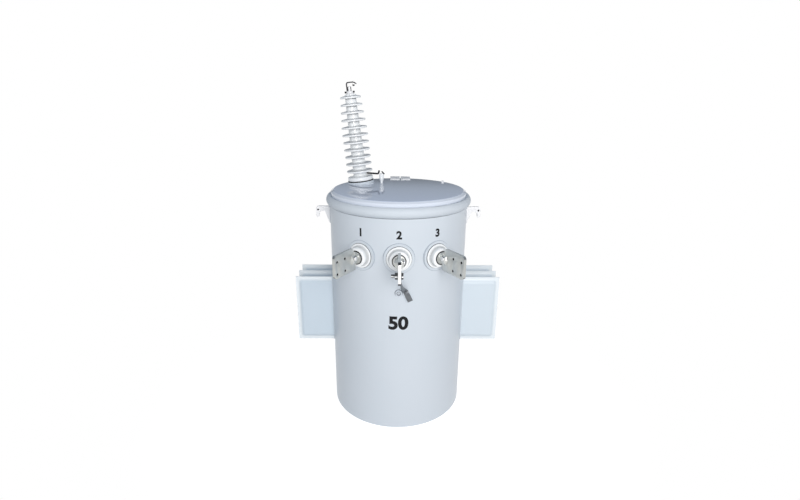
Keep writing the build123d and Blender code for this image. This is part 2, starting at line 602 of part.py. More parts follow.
def fin(side, row):
    """Pressed panel fin: a thin seam all round and a swollen panel on both faces."""
    inner = math.sqrt(TANK_RADIUS ** 2 - row ** 2) - 2 * SINK
    half = FIN_SEAM / 2
    seam = block((inner, FIN_END), (row - half, row + half), (FIN_FOOT, FIN_TOP))
    low = FIN_FOOT + FIN_FOOT_BORDER
    high = FIN_TOP - FIN_BORDER
    end = FIN_END - FIN_BORDER
    panel = Pos((inner + end) / 2, (low + high) / 2) * Rectangle(end - inner, high - low)
    panel = fillet(panel.vertices().group_by(Axis.X)[-1], FIN_CORNER)
    body = seam
    for face in (-1, 1):
        offset = row + face * half
        plane = Plane(origin=(0, offset, 0), x_dir=(1, 0, 0), z_dir=(0, -1, 0))
        body += extrude(plane * panel, amount=-face * FIN_BULGE, taper=face * FIN_SLOPE)
    body = clear_of_tank(body)
    return body if side > 0 else mirror(body, Plane.YZ)


def ground_boss():
    """Small round boss on the wall with a blind tapped hole."""
    frame = Location((0, 0, LV_LEVEL - GROUND_DROP), (90, 0, 0))
    face = TANK_RADIUS + GROUND_BOSS_PROUD
    body = frame * drum(GROUND_BOSS_RADIUS, TANK_RADIUS - SINK, face)
    hole = drum(GROUND_HOLE_RADIUS, face - GROUND_HOLE, face + OVERCUT)
    return clear_of_tank(body - frame * hole)


HANGER_MIDDLE = JOINT_LEVEL / 2 + HANGER_SHIFT
HANGER_FACE = TANK_RADIUS + HANGER_OUT
HANGER_LEVELS = {"lower": HANGER_MIDDLE - HANGER_SPACING / 2, "upper": HANGER_MIDDLE + HANGER_SPACING / 2}


def hanger(level):
    """Pole bracket: a slotted upright plate held off the wall by two cheeks."""
    half = HANGER_WIDTH / 2
    z = (level - HANGER_HEIGHT / 2, level + HANGER_HEIGHT / 2)
    body = block((-half, half), (HANGER_FACE - HANGER_SHEET, HANGER_FACE), z)
    for side in (-1, 1):
        cheek = sorted((side * half, side * (half - HANGER_SHEET)))
        body += block(cheek, (TANK_RADIUS - SINK, HANGER_FACE), z)
    frame = Location((0, HANGER_FACE, level), (90, 0, 0))
    slot = frame * SlotOverall(SLOT_LENGTH, SLOT_WIDTH, rotation=90)
    body -= extrude(slot, HANGER_SHEET + OVERCUT, both=True)
    return clear_of_tank(body)


PAD_FACE = PAD_SHEET / 2 + SEAT_GAP
STRAP_HOLE_Y = -(PAD_HOLE_CENTRE - PAD_HOLE_SPACING / 2)
STRAP_HOLE_Z = LV_LEVEL - PAD_DROP - PAD_HOLE_SPACING / 2
STRAP_FOOT_Z = LV_LEVEL - STRAP_FOOT_DROP
GROUND_PAD_FACE = TANK_RADIUS + GROUND_PAD_PROUD
STRAP_BOLT_FRAME = Location((0, STRAP_HOLE_Y, STRAP_HOLE_Z), (0, 90, 0))


def strap_section(middle, along, across):
    """A thin rectangle across the strap, given its middle, its direction and its width's way."""
    width = Vector(*across).normalized()
    return Plane(origin=middle, x_dir=width, z_dir=Vector(*along)) * Rectangle(STRAP_WIDTH, STRAP_SHEET)


def ground_strap():
    """Flat strap: bolted to the middle pad's side, twisting a quarter turn down to the wall."""
    side = PAD_FACE + STRAP_SHEET / 2
    face = -(GROUND_PAD_FACE + SEAT_GAP + STRAP_SHEET / 2)
    down = (0, 0, -1)
    lean = math.radians(STRAP_SLANT)
    along = (math.sin(lean), 0, -math.cos(lean))
    across = (-math.cos(lean), 0, -math.sin(lean))
    slanting = (0.3, 0.7, -0.7)
    turn = (STRAP_TURN_X, STRAP_HOLE_Y + STRAP_TURN_RUN, STRAP_HOLE_Z - STRAP_TURN_DROP)
    knee = (STRAP_KNEE_X, STRAP_HOLE_Y + STRAP_KNEE_RUN, STRAP_HOLE_Z - STRAP_KNEE_DROP)
    foot = Vector(STRAP_FOOT_X, face, STRAP_FOOT_Z)
    half = Vector(*along) * STRAP_FOOT_HALF
    stations = [
        ((side, STRAP_HOLE_Y, STRAP_HOLE_Z + STRAP_ABOVE), down, (0, 1, 0)),
        ((side, STRAP_HOLE_Y, STRAP_HOLE_Z - STRAP_BELOW), down, (0, 1, 0)),
        (turn, slanting, (-0.75, 0.5, 0.1)),
        (knee, slanting, (-0.93, 0.25, -0.2)),
        (foot - half, along, across),
        (foot + half, along, across),
    ]
    sections = [strap_section(*station) for station in stations]
    pieces = [loft([low, high], ruled=True) for low, high in zip(sections, sections[1:])]
    strap = pieces[0]
    for piece in pieces[1:]:
        strap += piece
    hole = drum(STRAP_BOLT_RADIUS + SEAT_GAP, 0, PAD_FACE + STRAP_SHEET + OVERCUT)
    return strap - STRAP_BOLT_FRAME * hole


def ground_pad():
    """Welded pad on the wall under the strap's foot, slanting with it."""
    half = STRAP_WIDTH / 2
    body = block((-half - GROUND_PAD_MARGIN, half), (-GROUND_PAD_FACE, SINK - TANK_RADIUS),
                 (-GROUND_PAD_HALF, GROUND_PAD_HALF))
    body = fillet(body.edges().filter_by(Axis.Y), GROUND_PAD_CORNER)
    return clear_of_tank(Pos(STRAP_FOOT_X, 0, STRAP_FOOT_Z) * Rot(0, -STRAP_SLANT, 0) * body)


def strap_bolt():
    """Bolt through the middle pad and the strap, with a nut on the far side."""
    near = PAD_FACE + STRAP_SHEET + SEAT_GAP
    body = drum(STRAP_BOLT_RADIUS, -STRAP_BOLT_END, near)
    body += hexagon(STRAP_NUT_RADIUS, near, near + STRAP_NUT)
    body += hexagon(STRAP_NUT_RADIUS, -PAD_FACE - STRAP_HEAD, -PAD_FACE)
    return STRAP_BOLT_FRAME * body


# ---- Write every piece ------------------------------------------------------------------------------
save("tank_wall", tank_wall())
save("tank_bottom", tank_bottom())
save("lid_gasket", lid_gasket())
save("lid", lid())
save("cover_band", cover_band())
save("band_lug_left", band_lug(-1))
save("band_lug_right", band_lug(1))
save("band_bolt", band_bolt())
save("band_nut", band_nut())
save("lid_plug", lid_plug())
save("hv_boss", hv_boss())
save("hv_gasket", hv_gasket())
save("hv_bushing", hv_bushing())
save("hv_cap", hv_cap())
save("hv_wire_clamp", hv_wire_clamp())
save("hv_clamp_screw", hv_clamp_screw())
save("gap_arm", gap_arm())
save("gap_post", gap_post())
save("gap_electrode", electrode(ELECTRODE_RADIUS))
for place, azimuth in LV_AZIMUTHS.items():
    save(f"lv_bushing_{place}", lv_bushing(azimuth))
    save(f"lv_stud_{place}", lv_stud(azimuth))
    save(f"lv_terminal_{place}", lv_terminal(azimuth))
    save(f"lv_clamp_bolt_{place}", lv_clamp_bolt(azimuth, -1 if place == "right" else 1))
for side, word in ((-1, "left"), (1, "right")):
    save(f"lifting_lug_{word}", lifting_lug(side))
    for number in range(FIN_COUNT):
        save(f"fin_{word}_{number + 1}", fin(side, FIN_FIRST + number * FIN_PITCH))
save("ground_boss", ground_boss())
save("ground_pad", ground_pad())
save("ground_strap", ground_strap())
save("strap_bolt", strap_bolt())
for place, level in HANGER_LEVELS.items():
    save(f"hanger_{place}", hanger(level))
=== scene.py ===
# %% [markdown]
# # A pole mounted transformer, finished in Blender
# The solids of this part come in as a fixed frame in metres, with +Z up and the tank's foot at the
# origin. This lesson dresses them: it sets the camera, the light and the floor, mixes a material
# for each finish of the real unit, and then makes the pieces that deserve more detail than a
# plain solid: fins, porcelain, terminals, weld beads, fasteners and the painted numbers.

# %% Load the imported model
import json
from math import cos, degrees, hypot, pi, radians, sin, sqrt, tau
import bpy
import bmesh
from mathutils import Matrix, Vector


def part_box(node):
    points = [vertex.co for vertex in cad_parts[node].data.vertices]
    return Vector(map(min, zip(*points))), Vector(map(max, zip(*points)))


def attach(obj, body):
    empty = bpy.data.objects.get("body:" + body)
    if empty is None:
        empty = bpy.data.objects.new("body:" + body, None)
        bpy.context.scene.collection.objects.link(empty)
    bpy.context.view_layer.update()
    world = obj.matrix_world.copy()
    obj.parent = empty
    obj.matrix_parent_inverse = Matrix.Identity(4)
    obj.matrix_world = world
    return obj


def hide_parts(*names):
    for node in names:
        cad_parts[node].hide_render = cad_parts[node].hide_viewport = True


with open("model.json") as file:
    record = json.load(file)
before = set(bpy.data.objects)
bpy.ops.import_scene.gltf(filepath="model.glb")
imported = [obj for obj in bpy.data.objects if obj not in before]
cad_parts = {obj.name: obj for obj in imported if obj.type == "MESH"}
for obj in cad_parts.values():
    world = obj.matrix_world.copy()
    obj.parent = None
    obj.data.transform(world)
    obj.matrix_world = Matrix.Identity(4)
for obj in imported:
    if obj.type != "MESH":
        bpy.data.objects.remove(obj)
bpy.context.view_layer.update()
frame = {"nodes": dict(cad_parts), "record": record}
nodes = frame["nodes"]

# %% [markdown]
# ## The camera
# The viewer stands a little under two metres in front of the tank, with the eye above the lid and
# the lens tilted down. A camera looks along its own -Z, so its three axes are built from the way
# it looks, its sideways direction and a small roll, and written into its matrix.

# %% Camera
def axes_at(origin, x, y, z):
    """A matrix whose local axes lie along x, y and z, at an origin."""
    matrix = Matrix((x, y, z)).transposed().to_4x4()
    matrix.translation = origin
    return matrix


def show(name, data):
    """Put an object with this data into the scene."""
    made = bpy.data.objects.new(name, data)
    bpy.context.scene.collection.objects.link(made)
    return made


EYE = Vector((-0.02352, -1.84473, 1.25987))
HEADING, TILT, ROLL = (radians(a) for a in (0.9751, 17.811, 0.5918))
ahead = Vector((sin(HEADING) * cos(TILT), cos(HEADING) * cos(TILT), -sin(TILT)))
level = Vector((cos(HEADING), -sin(HEADING), 0))
above = level.cross(ahead)
right = level * cos(ROLL) + above * sin(ROLL)
up = right.cross(ahead)
lens = bpy.data.cameras.new("camera")
lens.sensor_width = 36.0
lens.lens = 20.83
camera = show("camera", lens)
camera.matrix_world = axes_at(EYE, right, up, -ahead)
bpy.context.scene.camera = camera
bpy.context.scene.view_settings.view_transform = "Standard"
print("camera at", [round(v, 3) for v in EYE], "lens", lens.lens)

# %% [markdown]
# ## Helpers for node trees
# Every finish below is a small tree of nodes. The first two helpers add a node and give each of its
# inputs a value or a link, and the next three write the nodes that come back most often.

# %% Node helpers
def fill(node, inputs):
    """Give inputs, by name or number, a value, or a link from a socket or a node's first output."""
    for key, value in inputs.items():
        if isinstance(value, bpy.types.Node):
            value = value.outputs[0]
        if isinstance(value, bpy.types.NodeSocket):
            node.id_data.links.new(value, node.inputs[key])
        else:
            node.inputs[key].default_value = value


def add(tree, kind, inputs=None, **settings):
    """Add a node; settings are its properties, and its inputs are filled after them."""
    node = tree.nodes.new(kind)
    for key, value in settings.items():
        setattr(node, key, value)
    fill(node, inputs or {})
    return node


def ramp(tree, value, low, high, start=0.0, end=1.0, kind="LINEAR"):
    """Carry a value from the range low to high over to start to end."""
    limits = {"From Min": low, "From Max": high, "To Min": start, "To Max": end}
    return add(tree, "ShaderNodeMapRange", {"Value": value, **limits}, interpolation_type=kind)


def blend(tree, share, first, second):
    """Mix two colours by a share."""
    colours = {"Factor": share, "A": first, "B": second}
    return add(tree, "ShaderNodeMix", colours, data_type="RGBA").outputs["Result"]


def mix_shaders(tree, share, first, second):
    """Mix the shaders of two nodes by a share."""
    return add(tree, "ShaderNodeMixShader", {0: share, 1: first, 2: second})


def srgb(*colour):
    """Turn a colour as seen on a screen, 0 to 255, into the linear values that shaders take."""
    shares = [value / 255 for value in colour]
    return (*(v / 12.92 if v <= 0.04045 else ((v + 0.055) / 1.055) ** 2.4 for v in shares), 1.0)


# %% [markdown]
# ## Studio light
# The unit is lit softly from the front, under a ceiling that is darker than the walls of the
# room. The light that falls on surfaces is brighter near the horizon than overhead. The camera
# finds plain white. Mirror-like rays find that same white backdrop near the horizon, a dim
# ceiling above it and a light patch overhead. The ceiling makes the flat lid darker than the wall.

# %% World
world = bpy.data.worlds.new("studio")
bpy.context.scene.world = world
world.use_nodes = True
tree = world.node_tree
tree.nodes.clear()
way = add(tree, "ShaderNodeTexCoord").outputs["Generated"]
split = add(tree, "ShaderNodeSeparateXYZ", {0: way}).outputs
sky = blend(tree, ramp(tree, split["Z"], -0.1, 0.9), (0.66, 0.70, 0.74, 1), (0.34, 0.36, 0.40, 1))
from_front = ramp(tree, split["Y"], -0.5, 1.0, 1.0, 0.6)
soft = add(tree, "ShaderNodeBackground", {"Color": sky, "Strength": from_front})

# What mirror-like paint finds: the sine of the angle above the horizon, and how bright it is there.
ROOM = [(0.06, 1.0), (0.12, 0.12), (0.158, 0.12), (0.176, 0.42), (0.21, 0.45), (0.42, 0.42), (0.70, 0.44),
        (0.86, 0.95)]
room = add(tree, "ShaderNodeValToRGB", {0: ramp(tree, split["Z"], 0.0, 1.0)})
for k, (sine, grey) in enumerate(ROOM):
    stop = room.color_ramp.elements[k] if k < 2 else room.color_ramp.elements.new(sine)
    stop.position = sine
    stop.color = (grey * 0.88, grey * 1.0, grey * 1.17, 1) if grey < 1 else (1, 1, 1, 1)
mirrored = add(tree, "ShaderNodeBackground", {"Color": room, "Strength": 1.0})
backdrop = add(tree, "ShaderNodeBackground", {"Color": (1, 1, 1, 1), "Strength": 1.0})


def seen_directly(tree, kinds=("Is Camera Ray", "Is Glossy Ray", "Is Transmission Ray")):
    """1 for rays of these kinds, 0 for the light that falls on surfaces."""
    ray = add(tree, "ShaderNodeLightPath").outputs
    total = ray[kinds[0]]
    for name in kinds[1:]:
        total = add(tree, "ShaderNodeMath", {0: total, 1: ray[name]}, operation="MAXIMUM")
    return total


reflected = mix_shaders(tree, seen_directly(tree, ("Is Glossy Ray",)), soft, mirrored)
straight = seen_directly(tree, ("Is Camera Ray", "Is Transmission Ray"))
shown = mix_shaders(tree, straight, reflected, backdrop)
add(tree, "ShaderNodeOutputWorld", {"Surface": shown})
print("world nodes:", len(tree.nodes))

# %% [markdown]
# One large soft lamp in front, a little to the right and above eye height, gives the tank its
# roundness and puts a soft shadow under the band, the sheds and the pads. It is wide, so that no
# hard spot shows in the paint, and slightly warm, so that the sides stay cooler than the front.

# %% Lamp
LAMP_PLACE, LAMP_TARGET = Vector((0.7, -4.0, 2.0)), Vector((0, 0, 0.6))
light = bpy.data.lights.new("key_lamp", "AREA")
light.shape = "SQUARE"
light.size = 2.2
light.energy = 118
light.color = (1.0, 0.955, 0.93)
lamp = show("key_lamp", light)
lamp.location = LAMP_PLACE
lamp.rotation_euler = (LAMP_TARGET - LAMP_PLACE).to_track_quat("-Z", "Y").to_euler()
print("lamp of", light.energy, "W, side", round(light.size, 2))

# %% [markdown]
# ## The floor
# A pale studio floor. Seen directly it is white and keeps the part's soft shadow close by: a
# strong plain glow plus a little diffuse paint, which is the share that a shadow can darken.
# Farther out the glow alone is left, so the floor runs into the backdrop without an edge.

# %% Floor
mesh = bpy.data.meshes.new("studio_floor")
bm = bmesh.new()
bmesh.ops.create_circle(bm, cap_ends=True, radius=9.0, segments=96)
bm.to_mesh(mesh)
bm.free()
floor = show("studio_floor", mesh)
material = bpy.data.materials.new("studio_floor")
material.use_nodes = True
tree = material.node_tree
tree.nodes.clear()
place = add(tree, "ShaderNodeTexCoord").outputs["Object"]
length = add(tree, "ShaderNodeVectorMath", {0: place}, operation="LENGTH").outputs["Value"]
near_glow = add(tree, "ShaderNodeEmission", {"Strength": 0.88})
shadow_share = add(tree, "ShaderNodeBsdfDiffuse", {"Color": (0.4, 0.4, 0.4, 1)})
near = add(tree, "ShaderNodeAddShader", {0: near_glow, 1: shadow_share})
far = add(tree, "ShaderNodeEmission", {"Strength": 1.0})
glow = mix_shaders(tree, ramp(tree, length, 0.35, 1.1, kind="SMOOTHSTEP"), near, far)
plain = add(tree, "ShaderNodeBsdfDiffuse", {"Color": (0.8, 0.8, 0.8, 1)})
shown = mix_shaders(tree, seen_directly(tree), plain, glow)
add(tree, "ShaderNodeOutputMaterial", {"Surface": shown})
floor.data.materials.append(material)
print("floor radius 9 m")

# %% [markdown]
# ## Finishes
# A finish starts from one helper: a Principled shader whose colour drifts slowly over the surface
# and whose bump and roughness carry a fine grain. Patterns read Object coordinates, which on these
# pieces are the part's own metres, so the grain has its real size everywhere.

# %% Finish helper
def finish(name, colour, second, roughness, metallic=0.0, drift=3.0, grain=900.0, bump=0.02,
           spread=0.06, specular=0.5):
    """A finish: colours mixed by a slow drift, with a fine grain in bump (mm) and roughness."""
    material = bpy.data.materials.new(name)
    material.use_nodes = True
    tree = material.node_tree
    place = add(tree, "ShaderNodeTexCoord").outputs["Object"]
    slow = add(tree, "ShaderNodeTexNoise", {
        "Vector": place, "Scale": drift, "Detail": 3.0, "Roughness": 0.55})
    fine = add(tree, "ShaderNodeTexNoise", {"Vector": place, "Scale": grain, "Detail": 2.0})
    fill(tree.nodes["Principled BSDF"], {
        "Metallic": metallic, "Specular IOR Level": specular,
        "Base Color": blend(tree, slow, srgb(*colour), srgb(*second)),
        "Roughness": ramp(tree, fine, 0.0, 1.0, roughness - spread, roughness + spread),
        "Normal": add(tree, "ShaderNodeBump", {
            "Height": fine, "Strength": 1.0, "Distance": bump / 1000})})
    return material


def cover(material, share, colour):
    """Mix a colour over a finish as it is so far, by a share."""
    shader = material.node_tree.nodes["Principled BSDF"]
    below = shader.inputs["Base Color"].links[0].from_socket
    fill(shader, {"Base Color": blend(material.node_tree, share, below, colour)})


print("finish helpers ready")

# %% Table of finishes
# The two colours of the drift, the roughness, and what differs from the helper's own values.
PAINT = dict(grain=170, bump=0.05)
FINISH_TABLE = {
    "tank_paint": ((198, 208, 216), (205, 212, 219), 0.32, dict(PAINT, specular=0.38)),
    "pale_paint": ((234, 236, 238), (239, 240, 241), 0.36, dict(PAINT, specular=0.4)),
    "lid_paint": ((212, 221, 233), (216, 224, 235), 0.045, dict(grain=60, bump=0.0006, spread=0.015)),
    "band_paint": ((198, 208, 216), (205, 212, 219), 0.5, dict(PAINT, specular=0.2)),
    "joint_paint": ((172, 182, 192), (180, 189, 198), 0.5, dict(PAINT, specular=0.25)),
    "fin_paint": ((195, 210, 221), (200, 213, 223), 0.32, dict(PAINT, specular=0.38)),
    "porcelain": ((237, 241, 243), (242, 245, 246), 0.16, dict(grain=60, bump=0.01, spread=0.04)),
    "tinned_metal": ((210, 212, 209), (196, 199, 197), 0.36,
                     dict(metallic=0.85, drift=60, grain=1500, spread=0.08)),
    "bright_steel": ((235, 236, 236), (224, 226, 226), 0.28,
                     dict(metallic=0.7, drift=90, grain=1500, spread=0.05)),
    "fastener_steel": ((138, 142, 142), (104, 108, 108), 0.22,
                       dict(metallic=1.0, drift=90, grain=1500)),
    "grey_sealant": ((76, 82, 90), (86, 92, 99), 0.6,
                     dict(drift=9, grain=300, bump=0.05, specular=0.3)),
    "strap_metal": ((128, 132, 136), (96, 100, 104), 0.34,
                    dict(metallic=0.9, drift=80, grain=1200, spread=0.1)),
    "black_paint": ((17, 18, 22), (26, 27, 30), 0.55, dict(grain=500, specular=0.2)),
    "dark_steel": ((44, 45, 48), (60, 61, 64), 0.42, dict(metallic=0.5)),
    "gasket_rubber": ((22, 22, 24), (32, 32, 33), 0.8, dict(specular=0.2)),
}
FINISHES = {name: finish(name, colour, second, roughness, **rest)
            for name, (colour, second, roughness, rest) in FINISH_TABLE.items()}
print("finishes:", sorted(FINISHES))

# %% Spots, marks and dust, with painted light and shade
# Small spots of tarnish on the tinned metal.
tree = FINISHES["tinned_metal"].node_tree
place = add(tree, "ShaderNodeTexCoord").outputs["Object"]
spots = add(tree, "ShaderNodeTexVoronoi", {"Vector": place, "Scale": 420})
SPOT_COLOUR = srgb(160, 160, 154)
cover(FINISHES["tinned_metal"], ramp(tree, spots, 0.05, 0.22, 0.3, 0.0, "SMOOTHSTEP"), SPOT_COLOUR)

# Another colour where a piece carries a mark of that name, from 0 to 1 at each point. Most marks are
# painted
# light and shade: highlights and shade on the pads' edges and corners, shade in the porcelain's hollows
# and on the strap's bolt, and paler sides of the sealant and rims of the fins. The sealant's paleness is
# partly its own tone.
MARKS = [("tinned_metal", "cut_edge", (250, 250, 250)), ("tinned_metal", "corner_shade", (50, 51, 53)),
         ("porcelain", "grime", (100, 104, 107)), ("bright_steel", "grime", (52, 54, 56)),
         ("grey_sealant", "pale", (190, 198, 207)), ("fin_paint", "rim", (226, 234, 238))]
for name, mark_name, colour in MARKS:
    values = add(FINISHES[name].node_tree, "ShaderNodeAttribute", attribute_name=mark_name)
    cover(FINISHES[name], values.outputs["Fac"], srgb(*colour))

# A film on the top of the lid, partly dust and partly painted shade that darkens the flat top. It is
# lighter in front than behind, which is painted shade.
lid_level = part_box("lid")[1][2]
tree = FINISHES["lid_paint"].node_tree
place = add(tree, "ShaderNodeTexCoord").outputs["Object"]
along = add(tree, "ShaderNodeSeparateXYZ", {0: place}).outputs
dust_and_painted_shade = blend(tree, ramp(tree, along["Y"], -0.25, 0.25), srgb(203, 216, 239), srgb(186, 193, 201))
film = ramp(tree, along["Z"], lid_level - 0.0016, lid_level - 0.0003, 0.0, 0.9, "SMOOTHSTEP")
cover(FINISHES["lid_paint"], film, dust_and_painted_shade)
print("marks:", len(MARKS), "lid top", round(lid_level, 4))

# %% [markdown]
# ## The solids that stay
# Most nodes already have the right shape, so they keep it and only change their finish. The
# record says which slot each node belongs to. The lid and its clamping band take coats of their
# own.

# %% Dress the nodes
slot_of = {row["node"]: row["material_slot"] for row in frame["record"]["subparts"]}
OTHER_FINISH = {"lid": "lid_paint", "cover_band": "band_paint"}
for name, node in nodes.items():
    wanted = OTHER_FINISH.get(name, slot_of[name])
    node.data.materials.clear()
    node.data.materials.append(FINISHES[wanted])
print("dressed", len(nodes), "nodes")

# %% [markdown]
# ## Tools for making pieces
# Most pieces of this part are turned (round about an axis) or are plates with eased edges. One
# helper makes a piece of any mesh. The others make shapes: rows of points wrapped into a closed
# grid, a profile turned about any axis, nuts, threads and washers. Writing the grid by hand keeps
# the poles closed and the faces outward.

# %% Mesh helpers
def new_mesh(name, points, faces, edges=()):
    """A mesh from lists of points, faces and loose edges."""
    mesh = bpy.data.meshes.new(name)
    mesh.from_pydata([tuple(p) for p in points], edges, faces)
    mesh.validate()
    return mesh


def new_piece(name, shape, finish_name, node, smooth=40, stands=True):
    """Make a mesh, or points and faces, into a piece that rides on the body.

    It hides a node and stands for it, or only lies on it when stands is False. A piece
    that belongs to no node gives a slot's name instead. Edges sharper than smooth degrees stay crisp."""
    mesh = new_mesh(name, *shape) if isinstance(shape, tuple) else shape
    mesh.materials.clear()
    mesh.materials.append(FINISHES[finish_name])
    mesh.shade_smooth()
    if smooth:
        mesh.set_sharp_from_angle(angle=radians(smooth))
    piece = show(name, mesh)
    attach(piece, "root")
    if stands:
        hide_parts(node)
    return piece


def baked(thing):
    """The mesh of an object with its modifiers or its text worked out."""
    return bpy.data.meshes.new_from_object(thing.evaluated_get(bpy.context.evaluated_depsgraph_get()))


def mark(piece, name, values):
    """Give a piece a value per point that a finish can read, such as its share of painted shade."""
    layer = piece.data.attributes.new(name, "FLOAT", "POINT")
    layer.data.foreach_set("value", [float(v) for v in values])


print("piece helpers ready")


# %% Grids and turned shapes
def grid_faces(rows, columns):
    """Quads between rows of points that run round an axis."""
    return [(row * columns + k, row * columns + (k + 1) % columns,
             (row + 1) * columns + (k + 1) % columns, (row + 1) * columns + k)
            for row in range(rows - 1) for k in range(columns)]


def capped_faces(rows, columns):
    """Quads between rows of points round an axis, and one face over each end."""
    last = (rows - 1) * columns
    return grid_faces(rows, columns) + [tuple(range(columns))[::-1], tuple(range(last, last + columns))]


def turned_points(place, outline, segments, reach=None):
    """Rows of points round the local z axis, one row for each (radius, height) of an outline.

    reach may change the radius with the angle, for hexagons and threads."""
    points = []
    for radius, level in outline:
        for k in range(segments):
            angle = tau * k / segments
            r = reach(radius, level, angle) if reach else radius
            points.append(place @ Vector((r * cos(angle), r * sin(angle), level)))
    return points


def turned(place, outline, segments, reach=None):
    """Points and faces of a profile, from its lower end up, turned about local z with closed poles."""
    points = turned_points(place, outline, segments, reach)
    faces = grid_faces(len(outline), segments)
    pole, top = len(points), len(points) - segments
    points += [place @ Vector((0, 0, level)) for level in (outline[0][1], outline[-1][1])]
    for k in range(segments):
        after = (k + 1) % segments
        faces += [(after, k, pole), (top + k, top + after, pole + 1)]
    return points, faces


def hollow(place, outline, segments=64):
    """Points and faces of a ring: a closed outline, up its outer side first, turned about local z."""
    points = turned_points(place, outline, segments)
    faces = grid_faces(len(outline) + 1, segments)
    return points, [tuple(i % len(points) for i in face) for face in faces]


def joined(parts):
    """Put several (points, faces) lists into one."""
    points, faces = [], []
    for some_points, some_faces in parts:
        start = len(points)
        points += some_points
        faces += [tuple(i + start for i in face) for face in some_faces]
    return points, faces


def rounded(corners, radius, steps):
    """An outline whose inner corners are rounded: each corner gives way to a short arc."""
    outline = [Vector(corners[0])]
    for before, corner, after in zip(corners, corners[1:], corners[2:]):
        before, corner, after = Vector(before), Vector(corner), Vector(after)
        into, away = corner - before, after - corner
        cut = min(radius, into.length * 0.49, away.length * 0.49)
        start, end = corner - into.normalized() * cut, corner + away.normalized() * cut
        for k in range(steps + 1):
            t = k / steps
            outline.append(start * (1 - t) ** 2 + corner * 2 * t * (1 - t) + end * t ** 2)
    outline.append(Vector(corners[-1]))
    return [(p.x, p.y) for p in outline]


print("faces of a ring of 3 by 12:", len(grid_faces(4, 12)))


# %% Places, nuts, threads and washers
def box_of(node):
    """The low and the high corner of a node's box."""
    return [Vector(corner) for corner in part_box(node)]


def centre(node):
    """The middle of a node's box."""
    low, high = box_of(node)
    return (low + high) / 2


def frame_at(origin, axis, sideways=(0, 0, 1)):
    """A matrix whose local z runs along axis and whose local y is as near sideways as it can be."""
    z = Vector(axis).normalized()
    x = Vector(sideways).cross(z).normalized()
    return axes_at(origin, x, z.cross(x), z)


def hex_nut(place, corner_radius, low, high, segments=72):
    """A hexagon with both faces chamfered by a cone, the way nuts are turned."""
    cut, sixth = 0.12 * corner_radius, pi / 6

    def reach(radius, level, angle):
        across = (angle + sixth) % (2 * sixth) - sixth
        cone = corner_radius - cut + min(level - low, high - level) * 1.7
        return min(radius * cos(sixth) / cos(across), cone)

    levels = [low + cut * k for k in (0, 0.3, 0.6, 1)] + [high - cut * k for k in (1, 0.6, 0.3, 0)]
    return turned(place, [(corner_radius, level) for level in levels], segments, reach)


def threaded(place, radius, low, high, pitch):
    """A screw thread: the radius rises and falls along a helix, and the end is pointed a little."""
    depth = pitch * 0.55
    steps = max(4, int((high - low) / pitch * 6))
    outline = [(radius, low + (high - low) * k / steps) for k in range(steps + 1)]

    def reach(r, level, angle):
        turn = (level / pitch - angle / tau) % 1.0
        crest = r - depth * abs(2 * turn - 1)
        return min(crest, r - depth - pitch * 0.3 + (high - level) * 1.2)
    return turned(place, outline, 24, reach)


def crosswise(place, offset, sign=1):
    """A frame moved by offset and tipped over, so that its local z runs along the old x or against it."""
    return place @ Matrix.Translation(offset) @ Matrix.Rotation(sign * pi / 2, 4, "Y")


def at(base, outline):
    """An outline in millimetres, turned into metres and moved up by base."""
    return [(r * mm, base + z * mm) for r, z in outline]


def disc(place, base, radii, levels, ease=0.3, segments=48):
    """A washer or gasket with eased edges, from two radii and two levels in millimetres.

    Something always fills its hole, so it is drawn as a closed disc."""
    (inner, outer), (low, high) = radii, levels
    outline = rounded([(inner, low), (outer, low), (outer, high), (inner, high)], ease, 2)
    return turned(place, at(base, outline), segments)


mm = 0.001
WALL_PAST_BOTTOM = 4.3 * mm
wall_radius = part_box("tank_bottom")[1][0] + WALL_PAST_BOTTOM
print("tank radius", round(wall_radius, 4), "lid top", round(lid_level, 4))

# %% [markdown]
# ## Plates with eased edges
# The lifting lugs, pole brackets, closing lugs and terminal pads are flame-cut or stamped plates,
# and no real plate has a knife edge. Their solids already have the right outline, so each one is
# copied, its loose triangles are merged, flat areas are dissolved into single faces, and a small
# bevel rounds every sharp edge. Modelling them again by hand would only repeat the outline.

# %% Eased copies
SAME_POINT = 0.00002
FLAT_WITHIN, BEVEL_FROM, CRISP_FROM = (radians(angle) for angle in (0.5, 40, 35))


def eased(node, width, finish_name):
    """A copy of a solid with its sharp edges rounded by width, standing for that solid."""
    mesh = nodes[node].data.copy()
    bm = bmesh.new()
    bm.from_mesh(mesh)
    bmesh.ops.remove_doubles(bm, verts=bm.verts, dist=SAME_POINT)
    flat = [edge for edge in bm.edges if edge.is_manifold]
    bmesh.ops.dissolve_limit(bm, angle_limit=FLAT_WITHIN, verts=bm.verts, edges=flat)
    bm.to_mesh(mesh)
    bm.free()
    if mesh.has_custom_normals:
        mesh.attributes.remove(mesh.attributes["custom_normal"])
    piece = new_piece(node + "_plate", mesh, finish_name, node, 0)
    bevel = piece.modifiers.new("ease", "BEVEL")
    bevel.width = width
    bevel.segments = 2
    bevel.limit_method = "ANGLE"
    bevel.angle_limit = BEVEL_FROM
    bevel.harden_normals = False
    done = baked(piece)
    piece.modifiers.clear()
    piece.data = done
    done.shade_smooth()
    done.set_sharp_from_angle(angle=CRISP_FROM)
    return piece


PAD_START = 0.345  # how far out along a terminal its flat pad begins


